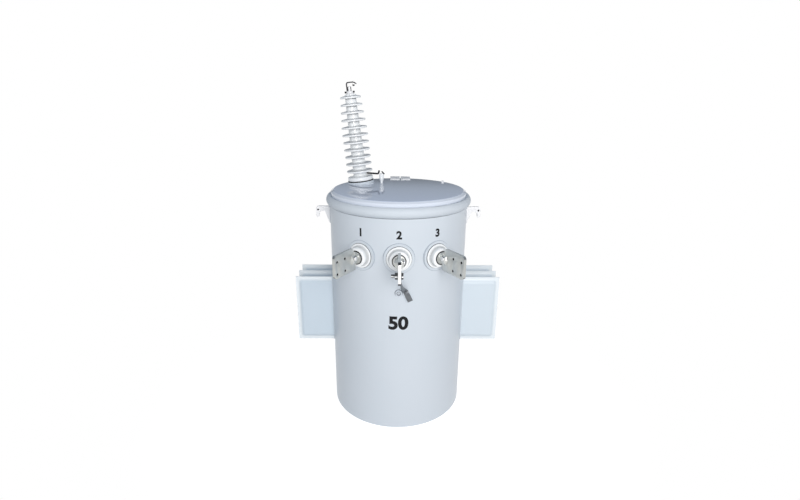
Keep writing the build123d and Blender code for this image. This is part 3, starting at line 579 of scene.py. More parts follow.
def paint_pad_edge_light(piece, azimuth, highlight_share, shade_share):
    """Paint a highlight on a pad's outer edge, shade on its turned corners, and light shade on an edge
    with no highlight.
    """
    across = Vector((cos(radians(azimuth)), sin(radians(azimuth)), 0))
    along = Vector((sin(radians(azimuth)), -cos(radians(azimuth)), 0))
    edge = piece.data.attributes.new("cut_edge", "FLOAT", "CORNER")
    shade = piece.data.attributes.new("corner_shade", "FLOAT", "CORNER")
    for face in piece.data.polygons:
        if abs(face.normal.dot(across)) < 0.75 and face.center.dot(along) > PAD_START:
            turned_corner = 0.3 < abs(face.normal.z) < 0.93 and face.normal.dot(along) > 0.2
            for corner in face.loop_indices:
                edge.data[corner].value = highlight_share if abs(face.normal.z) < 0.6 else 0.0
                shade.data[corner].value = shade_share if turned_corner else 0.0 if highlight_share else 0.15


plates = [eased(name, width * mm, finish_name) for name, width, finish_name in (
    ("lifting_lug_left", 1.6, "pale_paint"), ("lifting_lug_right", 1.6, "pale_paint"),
    ("hanger_lower", 1.6, "tank_paint"), ("hanger_upper", 1.6, "tank_paint"),
    ("band_lug_left", 0.8, "pale_paint"), ("band_lug_right", 0.8, "pale_paint"))]
LV_AZIMUTHS = {"left": -30.5, "middle": 0.0, "right": 30.5}
# The middle pad's edge gets a painted highlight. Every pad gets painted shade on its corners, and the side
# pads a little on their edges.
for side, azimuth in LV_AZIMUTHS.items():
    plates.append(eased("lv_terminal_" + side, 1.2 * mm, "tinned_metal"))
    paint_pad_edge_light(plates[-1], azimuth, *((1.0, 1.0) if side == "middle" else (0.0, 0.6)))
print("eased plates:", len(plates), "faces:", sum(len(p.data.polygons) for p in plates))

# %% [markdown]
# ## Cooling fins
# Each fin is two pressed sheets welded round their rim, so it has a thin flat seam and a swollen
# middle. A grid of points over the panel can follow that exactly: its height over the seam is a
# smooth step of the distance to the rim, plus a very slight crown, and both faces share one rim.

# %% Fins
SEAM_HALF = 1.5 * mm
RIM_WIDTH = 8 * mm
SLOPE_WIDTH = 19 * mm
CORNER_RADIUS = 26 * mm


def fin_panel(side, row):
    """A swollen panel fin, from inside the wall to its outer edge."""
    low, high = box_of(f"fin_{side}_{row}")
    sign = 1 if side == "right" else -1
    # The right-hand fins, on the lamp's side, are painted a little paler all over: painted light.
    painted_side_light = 0.35 if side == "right" else 0.0
    middle = (low.y + high.y) / 2
    bulge = (high.y - low.y) / 2 - SEAM_HALF
    outer = max(abs(low.x), abs(high.x))
    inner = sqrt(wall_radius ** 2 - middle ** 2) - 12 * mm
    half_height, half_way = (high.z - low.z) / 2, (low.z + high.z) / 2
    columns, rows = 56, 96
    points, faces, painted_rim_light = [], [], []
    for face in (-1, 1):
        for i in range(columns + 1):
            u = i / columns
            out = inner + (outer - inner) * (1 - (1 - u) ** 1.35)
            for j in range(rows + 1):
                v = 0.5 - 0.5 * cos(pi * j / rows)
                level = low.z + (high.z - low.z) * v
                corner = Vector((max(0, out - (outer - CORNER_RADIUS)),
                                 max(0, abs(level - half_way) - (half_height - CORNER_RADIUS))))
                inset = CORNER_RADIUS - corner.length if corner.x and corner.y else min(
                    outer - out, level - low.z, high.z - level)
                crown = 1 + 0.06 * sin(pi * v) * sin(pi * min(1, u * 1.1))
                t = min(max((inset - RIM_WIDTH) / SLOPE_WIDTH, 0), 1)
                swell = bulge * (0.95 * crown * t * t * (3 - 2 * t))
                points.append((sign * out, middle + face * (SEAM_HALF + min(swell, bulge)), level))
                # The flat seam and the foot of the swell are painted paler: a painted highlight along the
                # rim.
                painted_rim_light.append(max(painted_side_light, 1 - swell / (0.6 * bulge)))
    stride = rows + 1
    half = (columns + 1) * stride
    for i in range(columns):
        for j in range(rows):
            a = i * stride + j
            faces.append((a, a + stride, a + stride + 1, a + 1))
            faces.append((half + a, half + a + 1, half + a + stride + 1, half + a + stride))
    rim = [i * stride for i in range(columns + 1)]
    rim += [columns * stride + j for j in range(1, rows + 1)]
    rim += [i * stride + rows for i in range(columns - 1, -1, -1)] + list(range(rows - 1, 0, -1))
    for a, b in zip(rim, rim[1:] + rim[:1]):
        faces.append((b, a, a + half, b + half))
    if sign < 0:
        faces = [face[::-1] for face in faces]
    piece = new_piece(f"fin_panel_{side}_{row}", (points, faces), "fin_paint", f"fin_{side}_{row}")
    # The mark named rim carries this painted light into the fin's finish.
    mark(piece, "rim", painted_rim_light)
    return len(faces)


fins = [fin_panel(side, row) for side in ("left", "right") for row in (1, 2, 3)]
print("faces of the fins:", fins)

# %% [markdown]
# ## Low-voltage bushings
# Three low porcelain bushings sit on the tank's bosses. Each is a turned form: a rounded flange, a
# shallow groove and a domed face, on a thin black gasket that shows as a dark line. A profile
# turned about the stud's axis gives all of it, and the same helper then makes nuts and washers.

# %% Bushings, gaskets and nuts
lv_level = centre("lv_bushing_middle").z
BOSS_RISE, DOME_TOP, ROUND = 2 * mm, 28 * mm, 96
boss_face = wall_radius + BOSS_RISE


def stud_frame(azimuth):
    """Local z runs out along a stud, local y is up, and the origin is on the tank's axis."""
    angle = radians(azimuth)
    return frame_at((0, 0, lv_level), (sin(angle), -cos(angle), 0))


LV_FLANGE = rounded([(22, -38), (22, 0.3), (46, 0.3), (46, 5), (39.6, 5), (38.4, 3.2), (36.4, 3.2),
                     (35.4, 6), (35.2, 12)], 2.2, 6)
LV_PORCELAIN = LV_FLANGE + rounded([(35.2, 12.5), (35.2, 15), (35.2, 18), (35.2, 28), (9.6, 28)], 8, 10)


def groove_shade(radius, level):
    """Painted shade in the groove between flange and dome, fading up the dome's side."""
    if 34 * mm < radius < 39.6 * mm and 3 * mm < level < 22 * mm:
        return 0.34 * min(1.0, (22 * mm - level) / (10 * mm))
    return 0.0


for side, azimuth in LV_AZIMUTHS.items():
    place = stud_frame(azimuth)
    outline = at(boss_face, LV_PORCELAIN)
    dome = turned(place, outline, ROUND)
    piece = new_piece(f"lv_porcelain_{side}", dome, "porcelain", f"lv_bushing_{side}", 50)
    # Painted shade in the groove and up the side of the dome.
    grime = [groove_shade(r, z - boss_face) for r, z in outline for _ in range(ROUND)]
    mark(piece, "grime", grime + [0, 0])
    nut_foot = boss_face + DOME_TOP
    gasket = disc(place, boss_face, (40, 47), (-0.05, 1.4), 0.5, ROUND)
    # The seal under the nut is dark rubber, and its ring also stands in for the shade round the nut.
    seal = disc(place, nut_foot, (20, 26), (0.02, 1.5), 0.5, 64)
    for name, shape in (("lv_gasket_", gasket), ("lv_nut_seal_", seal)):
        new_piece(name + side, shape, "gasket_rubber", "gasket_rubber", 50, stands=False)
    nut = hex_nut(place, 20.4 * mm, nut_foot + 3.4 * mm, nut_foot + 8 * mm)
    washer = disc(place, nut_foot, (9, 22.6), (1.5, 3.5), 0.6, 64)
    stud = turned(place, at(boss_face, [(9, -53), (9, 45)]), 32)
    new_piece(f"lv_nut_{side}", joined([nut, washer, stud]), "tinned_metal", f"lv_stud_{side}", 35)
print("low-voltage level", round(lv_level, 4))

# %% [markdown]
# ## High-voltage bushing
# The tall bushing is the main form on the lid, and it follows a rule: a tapering core that carries
# eleven thin sheds at one pitch, the upper ones each a little smaller. Geometry Nodes suit that,
# because the rule stays editable: a vertical line is resampled, every point works out its radius
# from its height, and a circle is swept along the line. The shed's own section comes from a curve.

# %% Shed tree
def geometry_tree(name, inputs):
    """A geometry tree with geometry in and out, named inputs and a material, and its input sockets."""
    tree = bpy.data.node_groups.new(name, "GeometryNodeTree")
    add_socket = tree.interface.new_socket
    add_socket(name="Geometry", in_out="INPUT", socket_type="NodeSocketGeometry")
    add_socket(name="Geometry", in_out="OUTPUT", socket_type="NodeSocketGeometry")
    for name, value in inputs.items():
        kind = "NodeSocketInt" if isinstance(value, int) else "NodeSocketFloat"
        add_socket(name=name, in_out="INPUT", socket_type=kind).default_value = value
    add_socket(name="Material", in_out="INPUT", socket_type="NodeSocketMaterial")
    return tree, tree.nodes.new("NodeGroupInput").outputs


def sums_in(tree):
    """Short way to write sums with Math nodes: each call of the result adds one to the tree."""
    def work(operation, *values):
        return add(tree, "ShaderNodeMath", dict(enumerate(values)), operation=operation)
    return work


def end_tree(tree, geometry, given):
    """End a geometry tree: instances made real, one material, and out."""
    real = add(tree, "GeometryNodeRealizeInstances", {0: geometry})
    paint = add(tree, "GeometryNodeSetMaterial", {"Geometry": real, "Material": given["Material"]})
    add(tree, "NodeGroupOutput", {0: paint})


SHED_SIZES = {"Height": 0.350, "Sheds": 11.0, "Pitch": 0.0296, "First Rim": 0.0426, "Foot Radius": 0.029,
              "Top Radius": 0.0222, "Shed Radius": 0.054, "Top Shed Radius": 0.042, "Step": 0.00275,
              "Below Rim": 0.0039, "Above Rim": 0.0085}
shed_tree, given = geometry_tree("porcelain_sheds", SHED_SIZES)
sums = sums_in(shed_tree)
height, sheds, pitch, first_rim, foot, top, widest, top_shed, step, below, over = (
    given[name] for name in SHED_SIZES)
end = add(shed_tree, "ShaderNodeCombineXYZ", {"Z": height})
line = add(shed_tree, "GeometryNodeCurvePrimitiveLine", {"End": end})
resample = add(shed_tree, "GeometryNodeResampleCurve", {"Curve": line, "Count": 640})
here = add(shed_tree, "GeometryNodeInputPosition")
level = add(shed_tree, "ShaderNodeSeparateXYZ", {0: here}).outputs["Z"]
share = sums("DIVIDE", level, height)
core = sums("ADD", foot, sums("MULTIPLY", share, sums("SUBTRACT", top, foot)))
steps_up = sums("DIVIDE", sums("ADD", sums("SUBTRACT", level, first_rim), below), pitch)
last = sums("SUBTRACT", sheds, 1.0)
index = sums("MINIMUM", sums("MAXIMUM", sums("FLOOR", steps_up), 0.0), last)
above = sums("MULTIPLY", sums("SUBTRACT", steps_up, index), pitch)
phase = sums("DIVIDE", above, sums("ADD", below, over))
inside = sums("MULTIPLY", sums("GREATER_THAN", phase, 0.0), sums("LESS_THAN", phase, 1.0))
section = add(shed_tree, "ShaderNodeFloatCurve", {"Value": phase})
curve = section.mapping.curves[0]
for k, (x, y) in enumerate([(0.0, 0.90), (0.08, 0.965), (0.30, 1.0), (0.50, 0.985), (0.60, 0.93),
                            (0.72, 0.70), (0.88, 0.24), (1.0, 0.0)]):
    point = curve.points[k] if k < 2 else curve.points.new(x, y)
    point.location = (x, y)
section.mapping.update()
rim = sums("MINIMUM", widest, sums("ADD", top_shed, sums("MULTIPLY", step, sums("SUBTRACT", last, index))))
reach = sums("MULTIPLY", sums("MULTIPLY", inside, section), sums("SUBTRACT", rim, core))
radius = sums("ADD", core, reach)
hoop = add(shed_tree, "GeometryNodeCurvePrimitiveCircle", {"Resolution": 72, "Radius": 1.0})
sweep = add(shed_tree, "GeometryNodeCurveToMesh", {
    "Curve": resample, "Profile Curve": hoop, "Scale": radius, "Fill Caps": True})
end_tree(shed_tree, sweep, given)
print("shed tree nodes:", len(shed_tree.nodes))

# %% [markdown]
# The tree runs on a throwaway object. Its result becomes a plain mesh, whose points are then
# turned so that the foot stands on the sloping gasket and the axis points at the metal cap.

# %% Run a tree
def run_tree(tree, values, mesh=None):
    """Evaluate a geometry tree once and return its result as a plain mesh."""
    carrier = show("carrier", mesh or bpy.data.meshes.new("carrier"))
    modifier = carrier.modifiers.new("tree", "NODES")
    modifier.node_group = tree
    for item in tree.interface.items_tree:
        if item.item_type == "SOCKET" and item.in_out == "INPUT" and item.name in values:
            modifier[item.identifier] = values[item.name]
    bpy.context.view_layer.update()
    result = baked(carrier)
    bpy.data.objects.remove(carrier)
    return result


DOUBLES_WITHIN = 0.000004


def outward(mesh):
    """Merge doubles and turn every face of closed shells outward."""
    bm = bmesh.new()
    bm.from_mesh(mesh)
    bmesh.ops.remove_doubles(bm, verts=bm.verts, dist=DOUBLES_WITHIN)
    bmesh.ops.recalc_face_normals(bm, faces=bm.faces)
    bm.to_mesh(mesh)
    bm.free()
    return mesh


foot, head = centre("hv_gasket"), centre("hv_cap")
lean = (head - foot).normalized()
hv_place = frame_at(foot - lean * 1.5 * mm, lean, (0, 1, 0))
sheds = outward(run_tree(shed_tree, {**SHED_SIZES, "Material": FINISHES["porcelain"]}))


def shed_shade(radius, level):
    """Painted shade: a band on the core under each shed, where its shadow falls, and a band along the
    shed's sloping top.
    """
    height, count, pitch, first_rim, foot, top, *_, below, over = SHED_SIZES.values()
    steps = (level - first_rim + below) / pitch
    index = min(max(int(steps), 0), count - 1)
    above = (steps - index) * pitch
    core = foot + level / height * (top - foot)
    if radius < core + 1.2 * mm:
        under = -above if above < 0 else pitch - above
        last = above > 0 and index == count - 1
        return 0.0 if last else 0.8 * max(0.0, 1 - under / (4.5 * mm))
    phase = above / (below + over)
    if phase < 0.1:
        return 0.3 if radius < core + 16 * mm else 0.12
    return 0.6 * max(0.0, 1 - abs(phase - 0.68) / 0.24)


# Painted shade under the sheds and along their tops.
grime = [shed_shade(hypot(v.co.x, v.co.y), v.co.z) for v in sheds.vertices]
sheds.transform(hv_place)
mark(new_piece("hv_sheds", sheds, "porcelain", "hv_bushing", 50), "grime", grime)
COLLAR = rounded([(25, 3.2), (53.2, 3.2), (53.2, 19), (36, 19.6), (29.3, 24), (28, 26)], 4.5, 7)
new_piece("hv_collar", turned(hv_place, at(0, COLLAR), 96), "porcelain", "hv_bushing", 50)
print("lean", round(degrees(lean.angle(Vector((0, 0, 1)))), 2), "faces", len(sheds.polygons))

# %% [markdown]
# ## Head of the bushing
# A light metal cap closes the porcelain, held by two dark cap screws in its sides. The post on it
# is a short bar between two dark clamping plates, over which the hooked strap reaches to hold the
# wire. Each of them is a turned form or a bar with eased edges, placed in the bushing's own frame.

# %% Cap, post and screws
def bar(place, size, low_corner, ease):
    """Points and faces of a box with chamfered edges, from a low corner and a size."""
    (x0, y0, z0), (sx, sy, sz) = low_corner, size
    points = []
    for z, cut in ((0, ease), (ease, 0), (sz - ease, 0), (sz, ease)):
        near, far_x, far_y = cut + ease, sx - cut, sy - cut
        for x, y in ((near, cut), (far_x - ease, cut), (far_x, near), (far_x, far_y - ease),
                     (far_x - ease, far_y), (near, far_y), (cut, far_y - ease), (cut, near)):
            points.append(place @ Vector((x0 + x, y0 + y, z0 + z)))
    return points, capped_faces(4, 8)


CAP = rounded([(8, 350.2), (17.4, 350.2), (17.4, 353.6), (13.6, 354.4), (13.4, 363), (7, 363.4)], 2.2, 5)
cap_top, post_top = 363.2 * mm, 381 * mm
cap = turned(hv_place, at(0, CAP), 72)
post = bar(hv_place, (8.6 * mm, 9 * mm, post_top - cap_top), (-4.3 * mm, -4.5 * mm, cap_top), 0.8 * mm)
new_piece("hv_cap_turned", joined([cap, post]), "pale_paint", "hv_cap")
plates = [bar(hv_place, (2.4 * mm, 12 * mm, post_top - cap_top - 1 * mm),
              (side * 5.7 * mm - 1.2 * mm, -6 * mm, cap_top), 0.5 * mm) for side in (-1, 1)]
new_piece("hv_post_plates", joined(plates), "dark_steel", "hv_cap", stands=False)
SCREW_LEVEL = 359.4 * mm
screws = []
for side, reach_out in ((-1, 14.4), (1, 13)):
    sideways = crosswise(hv_place, (side * reach_out * mm, 0, SCREW_LEVEL), side)
    screws.append(hex_nut(sideways, 4.3 * mm, 0.6 * mm, 6.4 * mm, 48))
    screws.append(turned(sideways, [(2.4 * mm, -3 * mm), (2.4 * mm, 1 * mm)], 16))
new_piece("hv_cap_screws", joined(screws), "black_paint", "hv_cap", 35, stands=False)

# %% [markdown]
# The hooked strap is one strip of steel bent over a former: up beside the post, over the wire and
# down a little at its free end, where the screw hangs. A path gives its bends and a thin section
# with eased edges follows it.

# %% Hooked strap and its screw
HOOK_PATH = rounded([(-9.9, 363.2), (-9.9, 396.1), (19, 396.1), (30, 388.5)], 8, 7)
EASED = [(1, -0.6), (1, 0.6), (0.94, 1), (-0.94, 1), (-1, 0.6), (-1, -0.6), (-0.94, -1), (0.94, -1)]


def bent_strip(place, path, half_width, half_sheet):
    """Points and faces of a flat strip bent along a path in the local xz plane, in millimetres."""
    points = []
    for k, (x, z) in enumerate(path):
        before, after = path[max(k - 1, 0)], path[min(k + 1, len(path) - 1)]
        run = Vector((after[0] - before[0], after[1] - before[1])).normalized()
        for u, v in EASED:
            points.append(place @ Vector(((x - run.y * v * half_sheet) * mm, u * half_width * mm,
                                          (z + run.x * v * half_sheet) * mm)))
    return points, capped_faces(len(path), len(EASED))


new_piece("hv_hook_bent", bent_strip(hv_place, HOOK_PATH, 7, 2.1), "dark_steel", "hv_wire_clamp")
screw_place = hv_place @ Matrix.Translation((18 * mm, 0, 0))
screw_head = hex_nut(screw_place, 4.6 * mm, 381.2 * mm, 387 * mm, 48)
new_piece("hv_clamp_screw_head", screw_head, "black_paint", "hv_clamp_screw", 35)
screw_shank = turned(screw_place, [(3 * mm, 386 * mm), (3 * mm, 399.4 * mm)], 24)
new_piece("hv_clamp_screw_shank", screw_shank, "bright_steel", "hv_clamp_screw", 35, stands=False)
print("bushing head made")

# %% [markdown]
# ## Bolts of the terminals
# A domed bolt pinches each terminal's hub, on a dark spring washer whose ring also stands in for
# the shade round the bolt's head. The middle pad also carries the strap's bolt, whose thread shows on
# both sides of the pad. Each free hole of the pads gets a tinned lip and a black sleeve, painted shade
# for the unlit inside of the hole, which make it look narrower than the hole in the solid.

# %% Terminal bolts and bores
clamp = centre("lv_clamp_bolt_middle")
clamp_out, clamp_rise = -clamp.y, clamp.z - lv_level
HEAD = rounded([(2, 15.1), (8.2, 15.1), (8.2, 18.2), (5.4, 21), (0.4, 21)], 2.6, 6)
for side, azimuth in LV_AZIMUTHS.items():
    bolt_node, cross = f"lv_clamp_bolt_{side}", crosswise(
        stud_frame(azimuth), (0, clamp_rise, clamp_out), -1 if side == "right" else 1)
    head = turned(cross, at(0, HEAD), 48)
    shank = threaded(cross, 4 * mm, -19 * mm, -14.6 * mm, 1.25 * mm)
    new_piece(bolt_node + "_turned", joined([head, shank]), "bright_steel", bolt_node, 50)
    # A dark washer whose ring also stands in for the shade round the bolt's head.
    washer = disc(cross, 0, (4.4, 10.2), (14.6, 15.5))
    new_piece(f"lv_clamp_shade_washer_{side}", washer, "dark_steel", bolt_node, stands=False)

PAD_MIDDLE, PAD_SPACING, PAD_LEVEL = 0.400, 44.45 * mm, -4.5 * mm
LIP = at(0, [(7.05, -4.9), (7.05, 4.9), (4.5, 4.4), (4.5, -4.4)])
# A black sleeve inside each hole, painted shade for its unlit inside.
SLEEVE = at(0, [(4.48, -4.4), (4.48, 4.4), (4.1, 4.4), (4.1, -4.4)])
for side, azimuth in LV_AZIMUTHS.items():
    spots = [(0, PAD_LEVEL + up * PAD_SPACING, PAD_MIDDLE + along * PAD_SPACING)
             for along in (-0.5, 0.5) for up in (-0.5, 0.5)
             if not (side == "middle" and along < 0 and up < 0)]
    holes = [crosswise(stud_frame(azimuth), spot) for spot in spots]
    for kind, outline, finish_name in (("lips", LIP, "tinned_metal"), ("bores", SLEEVE, "black_paint")):
        rings = joined([hollow(hole, outline, 40) for hole in holes])
        new_piece(f"pad_{kind}_{side}", rings, finish_name, "lv_terminal_" + side, stands=False)

strap_bolt = centre("strap_bolt")
bolt_low, bolt_high = box_of("strap_bolt")
bolt_axis = crosswise(Matrix.Identity(4), (0, strap_bolt.y, strap_bolt.z))
shank = threaded(bolt_axis, 6.4 * mm, bolt_low.x, -14 * mm, 2 * mm)
core = turned(bolt_axis, [(6.1 * mm, -15 * mm), (6.1 * mm, bolt_high.x - 0.4 * mm)], 32)
near = hex_nut(bolt_axis, 12 * mm, bolt_high.x - 7 * mm, bolt_high.x - 0.5 * mm)
far = hex_nut(bolt_axis, 12 * mm, -15.3 * mm, -6.3 * mm)
washer = disc(bolt_axis, 0, (6.5, 12.6), (-6.3, -5.3))
parts = joined([shank, core, near, far, washer])
bolt = new_piece("strap_bolt_turned", parts, "bright_steel", "strap_bolt", 35)
# Painted shade above and below the bolt's axis, which leaves a painted highlight along its middle.
off_axis = [abs(v.co.z - strap_bolt.z) for v in bolt.data.vertices]
mark(bolt, "grime", [min(1.0, max(0.0, (off - 1.5 * mm) / (2 * mm))) for off in off_axis])

band_bolt = centre("band_bolt")
band_axis = crosswise(Matrix.Identity(4), band_bolt)
half = (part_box("band_bolt")[1][0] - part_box("band_bolt")[0][0]) / 2
nut_low, nut_high = (corner[0] - band_bolt.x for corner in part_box("band_nut"))
head = hex_nut(band_axis, 10.5 * mm, -half, -half + 8 * mm)
shank = turned(band_axis, [(6 * mm, -half + 6 * mm), (6 * mm, nut_low + 2 * mm)], 32)
thread = threaded(band_axis, 6 * mm, nut_low, half, 1.75 * mm)
new_piece("band_bolt_turned", joined([head, shank, thread]), "fastener_steel", "band_bolt", 35)
nut = hex_nut(band_axis, 10.5 * mm, nut_low, nut_high)
new_piece("band_nut_turned", nut, "fastener_steel", "band_nut", 35)
print("bolts made")

# %% [markdown]
# ## Small fittings
# The vent plug on the lid is a hexagon with a chamfered head. The earthing boss keeps its hole,
# with a grey ring in its mouth and a line of dark sealant round its foot, which also stands in for
# the shade there. A black plug sits in the tag hole of each lifting lug, a dark piece put where the
# hole shows only shade. Dark grey sealant fills the joints above and below the clamping band and
# stands in for their shade, painted paler at the sides than in front.

# %% Plug, boss and sealant
plug = centre("lid_plug")
plug_place = Matrix.Translation((plug.x, plug.y, lid_level))
parts = [hex_nut(plug_place, 7 * mm, 0.9 * mm, 6 * mm, 48),
         disc(plug_place, 0, (2, 6.4), (0.02, 1.2), segments=32)]
new_piece("lid_plug_turned", joined(parts), "pale_paint", "lid_plug", 35)

boss_place = frame_at((0, 0, centre("ground_boss").z), (0, -1, 0))
BOSS = [(12.5, -12), (12.5, 7), (11.8, 7.9), (8.8, 7.9), (8.1, 7.2), (8.1, 2.1), (8.1, -12)]
INSERT = [(8.08, 2.2), (8.08, 7.3), (6.3, 6.9), (6.3, 2.2)]
SEAL = [(15, -1), (14, 1.1), (12.5, 2.6), (12.5, -1)]
new_piece("ground_boss_turned", hollow(boss_place, at(wall_radius, BOSS)), "tank_paint", "ground_boss")
floor_of_hole = turned(boss_place, at(wall_radius, [(8.08, -12), (8.08, 2), (0.5, 2)]), 64)
new_piece("ground_boss_floor", floor_of_hole, "tank_paint", "ground_boss", stands=False)
# The seal round the boss's foot is dark to stand in for the shade line there.
for name, outline in (("insert", INSERT), ("seal", SEAL)):
    ring = new_piece("ground_boss_" + name, hollow(boss_place, at(wall_radius, outline)), "grey_sealant",
                      "ground_boss", stands=False)
    mark(ring, "pale", [0.3] * len(ring.data.vertices))

# A black plug closes each tag hole, a dark piece put where the hole shows only shade.
TAG_HOLE_SHADE = at(0, [(3.2, -5.4), (3.55, -5), (3.55, 5), (3.2, 5.4)])
for side, sign in (("left", -1), ("right", 1)):
    low, high = box_of("lifting_lug_" + side)
    tag = frame_at((sign * (max(abs(low.x), abs(high.x)) - 8.2 * mm), 0, high.z - 15 * mm), (0, -1, 0))
    new_piece(f"lug_tag_shade_plug_{side}", turned(tag, TAG_HOLE_SHADE, 32), "black_paint", f"lifting_lug_{side}",
              stands=False)

JOINT = [(274.4, 899.5), (274.4, 904.6), (272.6, 906), (270.1, 906.4), (270.1, 899.5)]
FOOT_JOINT = [(275.2, 866.9), (276.3, 867.9), (276.4, 868.9), (274.5, 868.9), (274.5, 866.9)]
# Both joint rings are dark to stand in for the shade in the joints, and are painted paler towards the
# sides than in front: painted shade and light.
for name, outline, paleness in (("lid_sealant", JOINT, 0.0), ("band_sealant", FOOT_JOINT, 0.3)):
    ring = new_piece(name, hollow(Matrix.Identity(4), at(0, outline), 192), "grey_sealant", "lid_gasket",
                      stands=False)
    sides = [abs(v.co.x) / hypot(v.co.x, v.co.y) for v in ring.data.vertices]
    mark(ring, "pale", [min(1.0, max(paleness, (share - 0.35) / 0.6)) for share in sides])
print("fittings made")

# %% [markdown]
# ## Weld beads
# The brackets, lifting lugs, fins and bushing bosses are welded on, and the tank has one seam. A
# bead shows as a row of small overlapping ripples. That is a rule along a path, so a Geometry
# Nodes tree makes it: the path is resampled at one spacing and a flattened ripple is placed on
# each point, a little different in size each time. The paths come from the boxes of the welded
# pieces and the tank's radius.

# %% Weld tree
weld_tree, given = geometry_tree("weld_bead", {"Spacing": 0.0022, "Ripple": 0.0026, "Seed": 7})
path = add(weld_tree, "GeometryNodeMeshToCurve", {"Mesh": given["Geometry"]})
evenly = add(weld_tree, "GeometryNodeResampleCurve", {"Curve": path, "Length": given["Spacing"]},
             mode="LENGTH")
ripple = add(weld_tree, "GeometryNodeMeshUVSphere", {"Segments": 8, "Rings": 5, "Radius": 1.0})
tangent = add(weld_tree, "GeometryNodeInputTangent")
turn = add(weld_tree, "FunctionNodeAlignRotationToVector", {"Vector": tangent}, axis="X")
chance = add(weld_tree, "FunctionNodeRandomValue", {"Min": 0.85, "Max": 1.12, "Seed": given["Seed"]},
             data_type="FLOAT")
size = sums_in(weld_tree)("MULTIPLY", given["Ripple"], chance.outputs["Value"])
shape = add(weld_tree, "ShaderNodeVectorMath", {0: (0.8, 1.0, 1.0), "Scale": size}, operation="SCALE")
placed = add(weld_tree, "GeometryNodeInstanceOnPoints", {
    "Points": evenly, "Instance": ripple, "Rotation": turn,
    "Scale": shape})
end_tree(weld_tree, placed, given)
print("weld tree nodes:", len(weld_tree.nodes))


# %% Weld paths
def weld(name, paths, ripple, spacing=2.2 * mm, finish_name="tank_paint"):
    """Lay a bead along each path, a list of points."""
    points, edges = [], []
    for path in paths:
        start = len(points)
        points += path
        edges += [(start + k, start + k + 1) for k in range(len(path) - 1)]
    values = {"Spacing": spacing, "Ripple": ripple, "Seed": 7, "Material": FINISHES[finish_name]}
    bead = run_tree(weld_tree, values, new_mesh(name + "_path", points, [], edges))
    new_piece(name, bead, finish_name, "tank_paint", 0, stands=False)


BEAD_OUT = 0.5 * mm


def wall_at(across, out=BEAD_OUT):
    """How far from the axis the wall, or a line just outside it, lies at this distance across."""
    return sqrt((wall_radius + out) ** 2 - across * across)


RING_STEPS = 72


def round_boss(azimuth, radius):
    """The line where a round boss of this radius meets the wall, at the level of the studs."""
    place = stud_frame(azimuth)
    path = []
    for k in range(RING_STEPS + 1):
        angle = tau * k / RING_STEPS
        x, y = radius * cos(angle), radius * sin(angle)
        path.append(place @ Vector((x, y, wall_at(x, 0.0))))
    return path


LV_WELD, HV_WELD = 56.5 * mm, 55.6 * mm
rings = [round_boss(azimuth, LV_WELD) for azimuth in LV_AZIMUTHS.values()]
weld("weld_lv_bosses", rings, 2.0 * mm, 2.0 * mm, "joint_paint")
for side, sign in (("left", -1), ("right", 1)):
    low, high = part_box("lifting_lug_" + side)
    y = high[1] + 1.2 * mm
    x = sign * wall_at(y, 0.6 * mm)
    foot, top = low[2] + 1 * mm, high[2] - 1 * mm
    loop = [(x, -y, foot), (x, -y, top), (x, y, top), (x, y, foot), (x, -y, foot)]
    weld("weld_lug_" + side, [loop], 2.8 * mm)
    lines = []
    for row in (1, 2, 3):
        low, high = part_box(f"fin_{side}_{row}")
        middle = (low[1] + high[1]) / 2
        bulge = (high[1] - low[1]) / 2
        for face in (-1, 1):
            profile = [(1.5, 0), (1.5, 12), (bulge / mm, 20), (bulge / mm, 267), (1.5, 275), (1.5, 287)]
            line = []
            for out, up in profile:
                y = middle + face * (out + 1.0) * mm
                line.append((sign * wall_at(y), y, low[2] + up * mm))
            lines.append(line)
    weld("weld_fins_" + side, lines, 2.4 * mm, 2.4 * mm)
lines = []
for level in ("lower", "upper"):
    low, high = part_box("hanger_" + level)
    for sign in (-1, 1):
        x = sign * (abs(high[0]) + 1.2 * mm)
        lines.append([(x, wall_at(x), corner[2]) for corner in (low, high)])
weld("weld_hangers", lines, 3.0 * mm)
hv_foot = centre("hv_boss")
angles = [tau * k / RING_STEPS for k in range(RING_STEPS + 1)]
boss_ring = [(hv_foot.x + HV_WELD * cos(angle), hv_foot.y + HV_WELD * sin(angle), lid_level)
             for angle in angles]
weld("weld_hv_boss", [boss_ring], 1.8 * mm, 2.0 * mm)
SEAM_TURN = radians(62)
seam = [Vector((wall_radius * sin(SEAM_TURN), wall_radius * cos(SEAM_TURN), z))
        for z in (0.004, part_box("tank_wall")[1][2] - 16 * mm)]
weld("weld_tank_seam", [seam], 1.7 * mm, 2.6 * mm)
print("beads laid")

# %% [markdown]
# ## Ground strap
# A flat strap runs from the middle terminal's pad down to the wall and twists a quarter turn on
# the way. It is one ribbon, so its middle line and its width's direction are set at a few
# stations, blended smoothly between them, and a thin rounded section follows.

# %% Ground strap
def smooth_between(stations, t):
    """Catmull-Rom blend of a list of vectors, t from 0 to 1."""
    spans = len(stations) - 1
    k = min(int(t * spans), spans - 1)
    u = t * spans - k
    a, b, c, d = (stations[min(max(i, 0), spans)] for i in (k - 1, k, k + 1, k + 2))
    return 0.5 * ((2 * b) + (c - a) * u + (2 * a - 5 * b + 4 * c - d) * u ** 2
                  + (3 * b - a - 3 * c + d) * u ** 3)


